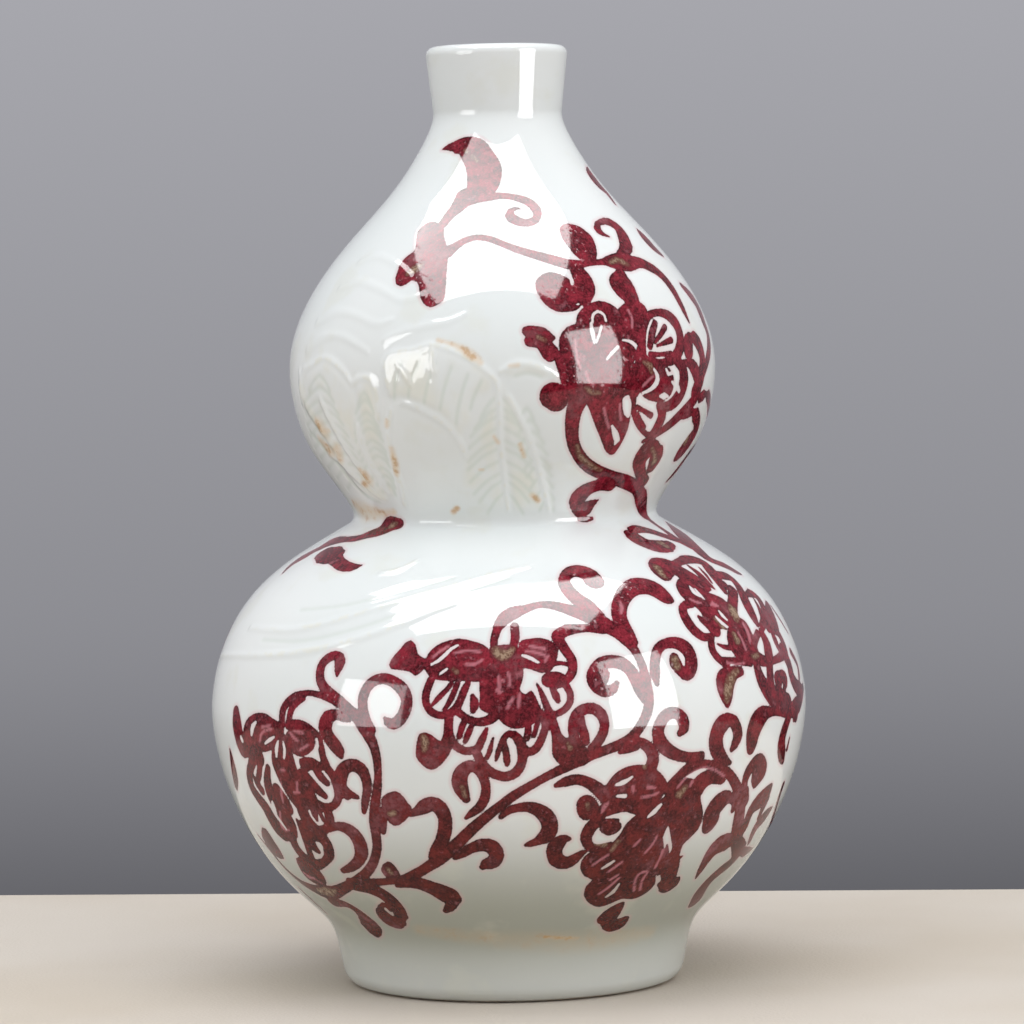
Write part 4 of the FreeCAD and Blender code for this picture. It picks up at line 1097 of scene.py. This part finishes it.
# Its own map unrolls the face above and the back in a strip below it.
face_v = back_strip + row_run / row_run[-1] * (1 - back_strip)
back_v = np.linspace(0, back_strip, len(net) - row_count + 2)
low_v = np.r_[face_v[:-1], back_v[:-1]][:, None]
high_v = np.r_[face_v[1:], back_v[1:]][:, None]
low_u = np.arange(column_count)[None, :] / column_count
high_u = low_u + 1 / column_count
unrolled = np.broadcast_arrays(low_u, low_v, high_u, low_v, high_u, high_v, low_u, high_v)
glaze_map = glaze_mesh.uv_layers.new(name="OFBake")
glaze_map.data.foreach_set("uv", np.float32(np.stack(unrolled, axis=-1)).ravel())


def keep(name, values):
    """Keeps one quantity of the painting on the face's points, with 0 on the back's."""
    everywhere = np.zeros(net_radius.shape, dtype=np.float32)
    everywhere[:row_count] = values
    glaze_mesh.attributes.new(name, "FLOAT", "POINT").data.foreach_set(
        "value", everywhere.ravel()
    )


keep("ink_edge", edge)
keep("ink_load", load)
keep("ink_pool", pooled)
keep("carved", raised - sunken)
keep("leaf", leaf)
keep("rust", rusted)
glaze_mesh.update(calc_edges=True)
glaze = bpy.data.objects.new("painted_glaze", glaze_mesh)
bpy.context.scene.collection.objects.link(glaze)


class Socket:
    """A node's output that can be used in sums, which add Math nodes."""

    def __init__(self, shader, output):
        self.shader = shader
        self.output = output

    def math(self, operation, *values):
        return self.shader.add("ShaderNodeMath", {"operation": operation}, values)

    def __add__(self, other):
        return self.math("ADD", self, other)

    def __sub__(self, other):
        return self.math("SUBTRACT", self, other)

    def __mul__(self, other):
        return self.math("MULTIPLY", self, other)

    def __truediv__(self, other):
        return self.math("DIVIDE", self, other)

    def __neg__(self):
        return self.math("MULTIPLY", self, -1)

    def __radd__(self, other):
        return self.math("ADD", other, self)

    def __rsub__(self, other):
        return self.math("SUBTRACT", other, self)

    def __rmul__(self, other):
        return self.math("MULTIPLY", other, self)

    def clamped(self):
        return self.math("MINIMUM", self.math("MAXIMUM", self, 0), 1)

    def between(self, low, high):
        """0 at low and 1 at high, eased in between. Low may be the greater."""
        share = ((self - low) / (high - low)).clamped()
        return share * share * (3 - 2 * share)


class Shader:
    """The nodes of a material, or of the world, added one by one."""

    def __init__(self, owner):
        owner.use_nodes = True
        self.tree = owner.node_tree
        self.tree.nodes.clear()

    def add(self, kind, settings, values, output=0):
        """Adds a node: its settings first, then the values or links of its sockets."""
        made = self.tree.nodes.new(kind)
        for name, value in settings.items():
            setattr(made, name, value)
        named = values.items() if isinstance(values, dict) else enumerate(values)
        for name, value in named:
            if isinstance(value, Socket):
                self.tree.links.new(value.output, made.inputs[name])
            else:
                made.inputs[name].default_value = value
        return Socket(self, made.outputs[output]) if made.outputs else None

    def place(self):
        """Where on the object a point lies, in metres."""
        return self.add("ShaderNodeTexCoord", {}, {}, "Object")

    def kept(self, name):
        return self.add("ShaderNodeAttribute", {"attribute_name": name}, {}, "Fac")

    def noise(self, grain_mm, detail=2.0, roughness=0.5):
        """Noise about 0.5, with clouds or grains of about that size."""
        values = {
            "Vector": self.place(),
            "Scale": 1 / (grain_mm * metres_per_mm),
            "Detail": detail,
            "Roughness": roughness,
        }
        return self.add("ShaderNodeTexNoise", {}, values)

    def blend(self, share, first, second):
        """A colour between two others."""
        settings = {"data_type": "RGBA"}
        return self.add("ShaderNodeMix", settings, {0: share, 6: first, 7: second}, 2)

    def bump(self, height, depth_mm):
        values = {"Distance": depth_mm * metres_per_mm, "Height": height}
        return self.add("ShaderNodeBump", {}, values)

    def show(self, **values):
        """Joins a Principled shader with these sockets to the output."""
        sockets = {
            name.upper() if name == "ior" else name.replace("_", " ").title(): value
            for name, value in values.items()
        }
        shader = self.add("ShaderNodeBsdfPrincipled", {}, sockets)
        self.add("ShaderNodeOutputMaterial", {}, {"Surface": shader})


def colour(red, green, blue):
    """A colour for a socket, from red, green and blue on a scale of 0 to 255."""
    shares = [value / 255 for value in (red, green, blue)]
    return (*[v / 12.92 if v <= 0.04045 else ((v + 0.055) / 1.055) ** 2.4 for v in shares], 1)


def dress(names, material):
    """Gives one material to these solids of the frame."""
    for name in names:
        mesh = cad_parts[name].data
        mesh.materials.clear()
        mesh.materials.append(material)


clear_white = colour(238, 241, 241)
cool_white = colour(230, 235, 235)
# A darker, greener glaze low on the vase: partly thicker glaze, partly painted shade under the lower bulb.
low_ivory_and_shade = colour(164, 168, 156)
# Glaze pooled greener in the carved grooves, darkened there as well as painted shade of the relief.
groove_green_and_shade = colour(208, 218, 209)
warm_cloud = colour(222, 222, 206)
leaf_ivory = colour(232, 231, 218)
rust_brown = colour(222, 186, 134)
rust_spot = colour(186, 136, 78)
pink_halo = colour(220, 160, 168)
crimson = colour(150, 40, 56)
bleeding_crimson = colour(160, 38, 64)
wine = colour(56, 0, 8)
pale_veil = colour(162, 92, 100)
# Browner, darker reds for the lower painting, as painted shade of the lower bulb lit less from above.
shaded_crimson = colour(110, 36, 26)
shaded_wine = colour(44, 4, 2)
washed_pink = colour(214, 138, 150)
pale_speck = colour(184, 104, 116)
pool_tan = colour(178, 156, 130)
pool_olive = colour(116, 92, 72)
pool_brown = colour(84, 26, 28)
dark_speck = colour(58, 10, 18)
glaze_ior = 1.38
glaze_roughness = 0.04

# Heights in metres between which a colour comes in, and distances in mm inside a stroke's
# edge between which its ink, its pink halo and its darker rim do.
low_shade_heights = (0.085, 0.035)
foot_shade_heights = (0.004, 0.03)
shaded_painting_heights = (0.15, 0.03)
ink_comes = (-0.18, 0.18)
halo_comes = (-1.8, 0.1)
rim_comes = (0.9, 0.1)

glaze_material = bpy.data.materials.new("painted_clear_glaze")
paint = Shader(glaze_material)
height = paint.add("ShaderNodeSeparateXYZ", {}, {0: paint.place()}, "Z")
broad = paint.noise(110, 2)
cloudy = paint.noise(26, 4)
mottle = paint.noise(5, 4, 0.6)
grain = paint.noise(0.9, 2, 0.6)
specks = paint.noise(1.5, 1)
fray = (mottle - 0.5) * 0.4 + (grain - 0.5) * 0.4

inside_ink = paint.kept("ink_edge") + fray
inked = inside_ink.between(*ink_comes)
halo = inside_ink.between(*halo_comes)
rim = inside_ink.between(*rim_comes)
pool = paint.kept("ink_pool")
stain = paint.kept("rust")
carved = paint.kept("carved")

white = paint.blend(broad.between(0.35, 0.65), cool_white, clear_white)
# Painted shade and thicker glaze: the glaze turns darker and greener towards the bottom, and eases back to
# half at the foot's resting edge.
low = height.between(*low_shade_heights) * (height.between(*foot_shade_heights) * 0.5 + 0.5)
white = paint.blend(low * 0.9, white, low_ivory_and_shade)
white = paint.blend(paint.kept("leaf") * cloudy.between(0.4, 0.6) * 0.6, white, leaf_ivory)
# Grooves are tinted greener and darker: glaze pooled in them, and painted shade of the carving.
white = paint.blend((-carved).between(0.05, 0.9) * 0.5, white, groove_green_and_shade)
white = paint.blend(carved.between(0.2, 0.9) * mottle.between(0.45, 0.6) * 0.5, white, leaf_ivory)
white = paint.blend(cloudy.between(0.45, 0.33) * 0.22, white, warm_cloud)
white = paint.blend((stain * (mottle * 1.4 + 0.1)).clamped() * 0.62, white, rust_brown)
white = paint.blend((stain * (mottle - 0.5)).between(0.0, 0.14) * 0.5, white, rust_spot)
white = paint.blend(halo * 0.34, white, pink_halo)

tone = (mottle.between(0.35, 0.6) * 0.55 + grain.between(0.35, 0.65) * 0.4 + rim * 0.25).clamped()
# Painted shade: the ink turns browner and darker towards the bottom of the vase.
painted_low_shade = height.between(*shaded_painting_heights)
light_red = paint.blend(painted_low_shade, paint.blend(rim * 0.7, crimson, bleeding_crimson), shaded_crimson)
red = paint.blend(tone, light_red, paint.blend(painted_low_shade, wine, shaded_wine))
red = paint.blend(cloudy.between(0.48, 0.64) * mottle.between(0.4, 0.6) * 0.5, red, pale_veil)
worn = (1 - paint.kept("ink_load") + mottle.between(0.6, 0.75) * 0.3).clamped()
red = paint.blend(worn * 0.85, red, washed_pink)
red = paint.blend(specks.between(0.64, 0.8) * 0.35, red, pale_speck)
grey = paint.blend(specks.between(0.42, 0.6), pool_tan, pool_olive)
red = paint.blend(pool.between(0.05, 0.5) * 0.6, red, pool_brown)
red = paint.blend((pool * 1.6 - 1.1 + mottle * 0.9).clamped() * 0.75, red, grey)
red = paint.blend(specks.between(0.38, 0.3) * 0.5, red, dark_speck)

pitted = specks.between(0.6, 0.75)
paint.show(
    base_color=paint.blend(inked, white, red),
    roughness=glaze_roughness + inked * (0.02 + pitted * 0.2) + stain * 0.1,
    ior=glaze_ior,
    normal=paint.bump(
        broad * 0.5 + cloudy * 0.06 + inked * (mottle * 0.012 + pitted * 0.03), 0.4
    ),
)
glaze_mesh.materials.append(glaze_material)
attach(glaze, "root")
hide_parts("outer_glaze")


# The thrown sections are plain white porcelain. Only the resting edge of the foot, wiped
# clean of glaze, is ever seen. It is matt and a little warm, with grit in it.
body_white = colour(220, 214, 203)
body_warm = colour(205, 190, 170)
grit_brown = colour(140, 100, 70)

porcelain = bpy.data.materials.new("bare_porcelain")
clay = Shader(porcelain)
fired = clay.noise(22, 3)
grit = clay.noise(2, 1)
bare = clay.blend(fired.between(0.35, 0.7), body_white, body_warm)
clay.show(
    base_color=clay.blend(grit.between(0.68, 0.76) * 0.7, bare, grit_brown),
    roughness=0.62 + fired * 0.2,
    normal=clay.bump(clay.noise(0.7, 2), 0.12),
)
dress(("foot_ring", "lower_bulb_bowl", "lower_bulb_shoulder"), porcelain)
dress(("upper_bulb_bowl", "upper_bulb_shoulder", "neck_collar"), porcelain)


# The slip that joins the sections is the same clay, thinned. It shows nowhere, and is
# brushed into each joint before the coat of glaze goes over it.
slip_white = colour(224, 219, 209)
slip_grey = colour(208, 198, 182)

slip = bpy.data.materials.new("luting_slip")
joint = Shader(slip)
brushed = joint.noise(8, 4)
joint.show(
    base_color=joint.blend(brushed, slip_white, slip_grey),
    roughness=0.7 + brushed * 0.15,
    normal=joint.bump(brushed, 0.15),
)
dress(("foot_slip", "lower_belly_slip", "waist_slip", "upper_belly_slip", "neck_slip"), slip)


# The glaze inside the vase and under its foot is the same clear coat without painting.
# It was poured, so it is less even, and a little greener where it ran together.
poured_white = colour(232, 235, 232)
poured_green = colour(222, 229, 225)
poured_cloud = colour(206, 214, 202)
pinhole = colour(150, 120, 90)

poured_glaze = bpy.data.materials.new("poured_clear_glaze")
pour = Shader(poured_glaze)
sweep = pour.noise(70, 2)
cloud = pour.noise(17, 3)
pits = pour.noise(2.6, 1).between(0.68, 0.76)
clear = pour.blend(sweep.between(0.3, 0.7), poured_green, poured_white)
clear = pour.blend(cloud.between(0.55, 0.75) * 0.4, clear, poured_cloud)
pour.show(
    base_color=pour.blend(pits * 0.6, clear, pinhole),
    roughness=0.1 + pits * 0.3,
    normal=pour.bump(sweep + cloud * 0.2 - pits * 0.2, 0.3),
)
dress(("inner_glaze", "base_glaze"), poured_glaze)


# The table has a plain pale cloth on it, which drops over the table's far edge.
table_half_width_mm = 1000
table_near_mm = -750
table_far_mm = 242
table_turn = math.radians(-5.6)
cloth_fold_mm = 12
cloth_drop_mm = 500
fold_steps = 12
cloth_pale = colour(200, 191, 180)
cloth_tan = colour(189, 177, 161)

fold_turns = np.linspace(0, math.pi / 2, fold_steps)
cloth_line = [(table_near_mm, 0)]
for turn in fold_turns:
    fold_y = table_far_mm + cloth_fold_mm * math.sin(turn)
    cloth_line.append((fold_y, cloth_fold_mm * (math.cos(turn) - 1)))
cloth_line.append((table_far_mm + cloth_fold_mm, -cloth_drop_mm))
cloth_corners = [
    Vector((x, y, z)) * metres_per_mm
    for y, z in cloth_line
    for x in (-table_half_width_mm, table_half_width_mm)
]
cloth_faces = [(i, i + 1, i + 3, i + 2) for i in range(0, len(cloth_corners) - 2, 2)]
cloth_mesh = bpy.data.meshes.new("table_cloth")
cloth_mesh.from_pydata(cloth_corners, [], cloth_faces)
cloth_mesh.shade_smooth()
cloth = bpy.data.objects.new("table_cloth", cloth_mesh)
cloth.rotation_euler.z = table_turn
bpy.context.scene.collection.objects.link(cloth)

linen = bpy.data.materials.new("pale_cloth")
weave = Shader(linen)
# Painted shade of folds: broad tan and pale patches on the flat cloth.
fold_shade = weave.noise(240, 3)
weave.show(
    base_color=weave.blend(fold_shade.between(0.3, 0.7), cloth_tan, cloth_pale),
    roughness=0.9,
    normal=weave.bump(weave.noise(1.5, 1), 0.2),
)
cloth_mesh.materials.append(linen)


# Soft boxes light the vase: a broad one overhead, a large one in front, above the camera,
# and on each side one in front that glints in the glaze and one beside it that fills in.
# Where a box both lights and glints, each has a lamp of its own.
right_height_mm = 690
left_height_mm = 555
vase_middle_mm = 240
overhead_mm = 2650
overhead_place_mm = (-140, -300)
overhead_size_mm = (2780, 2100)
side_distance_mm = 2400
fill_distance_mm = 1200
right_turn = math.radians(52.5)
right_size_mm = (1200, 1860)
left_turn = math.radians(-53.7)
left_size_mm = (1150, 1020)
front_place_mm = (0, -1180, 1950)
front_size_mm = (2400, 2300)
fill_turn = math.radians(80)
fill_height_mm = 500
fill_size_mm = (900, 900)
twin_gap_mm = 10
watts_per_radiance = 4
overhead_light = 0.40
overhead_glint = 12.0
right_light = 1.1
right_glint = 12.0
left_light = 0.0
left_glint = 7.0
front_light = 1.11
front_glint = 0.0
right_fill_light = 0.7
left_fill_light = 1.0
fill_glint = 0.0


def soft_box(name, place_mm, aim_mm, size_mm, lighting, glinting):
    """A lamp of that radiance, and a twin whose light only shows in reflections."""
    place = Vector(place_mm) * metres_per_mm
    aim = Vector(aim_mm) * metres_per_mm
    width, depth = np.array(size_mm) * metres_per_mm
    for twin, radiance in (("light", lighting), ("glint", glinting)):
        if not radiance:
            continue
        lamp = bpy.data.lights.new(f"{name}_{twin}", "AREA")
        lamp.shape = "RECTANGLE"
        lamp.size = width
        lamp.size_y = depth
        lamp.energy = radiance * watts_per_radiance * width * depth
        box = bpy.data.objects.new(f"{name}_{twin}", lamp)
        box.location = place
        if twin == "glint":
            box.location += (aim - place).normalized() * twin_gap_mm * metres_per_mm
        box.rotation_euler = (aim - place).to_track_quat("-Z", "Y").to_euler()
        box.visible_camera = False
        box.visible_diffuse = twin == "light"
        box.visible_glossy = twin == "glint"
        bpy.context.scene.collection.objects.link(box)


def aside(turn, distance_mm, height_mm):
    """A place beside the vase, that far round from the front."""
    return (distance_mm * math.sin(turn), -distance_mm * math.cos(turn), height_mm)


vase_middle = (0, 0, vase_middle_mm)
overhead_place = (*overhead_place_mm, overhead_mm)
under_overhead = (*overhead_place_mm, 0)
right_place = aside(right_turn, side_distance_mm, right_height_mm)
left_place = aside(left_turn, side_distance_mm, left_height_mm)
right_fill_place = aside(fill_turn, fill_distance_mm, fill_height_mm)
left_fill_place = aside(-fill_turn, fill_distance_mm, fill_height_mm)
boxes = (
    ("overhead", overhead_place, under_overhead, overhead_size_mm, overhead_light, overhead_glint),
    ("right", right_place, vase_middle, right_size_mm, right_light, right_glint),
    ("left", left_place, vase_middle, left_size_mm, left_light, left_glint),
    ("front", front_place_mm, vase_middle, front_size_mm, front_light, front_glint),
    ("right_fill", right_fill_place, vase_middle, fill_size_mm, right_fill_light, fill_glint),
    ("left_fill", left_fill_place, vase_middle, fill_size_mm, left_fill_light, fill_glint),
)
for box_values in boxes:
    soft_box(*box_values)

# The rest is even light from a plain room, seen as a grey wall that darkens downwards.
wall_dark = colour(62, 62, 66)
wall_low = colour(98, 98, 103)
wall_pale = colour(168, 168, 174)
wall_fade = 3.2
wall_level = 0.774
foot_of_wall = (-0.07, -0.20)
room_light_rise = (0.0, 0.6)
room_light_low = (0.02, 0.02, 0.02, 1)
room_light_high = (0.68, 0.69, 0.71, 1)

room = bpy.data.worlds.new("grey_room")
walls = Shader(room)
direction = walls.add("ShaderNodeTexCoord", {}, {}, "Generated")
rise = walls.add("ShaderNodeSeparateXYZ", {}, {0: direction}, "Z")
wall = walls.blend((rise * wall_fade + wall_level).clamped(), wall_low, wall_pale)
wall = walls.blend(rise.between(*foot_of_wall), wall, wall_dark)
lightness = rise.between(*room_light_rise)
room_light = walls.blend(lightness, room_light_low, room_light_high)
seen = (
    walls.add("ShaderNodeLightPath", {}, {}, "Is Camera Ray")
    + walls.add("ShaderNodeLightPath", {}, {}, "Is Glossy Ray")
    + walls.add("ShaderNodeLightPath", {}, {}, "Is Transmission Ray")
).clamped()
lit = walls.add("ShaderNodeBackground", {}, {"Color": walls.blend(seen, room_light, wall)})
walls.add("ShaderNodeOutputWorld", {}, {"Surface": lit})
bpy.context.scene.world = room

bpy.context.scene.view_settings.view_transform = "Standard"
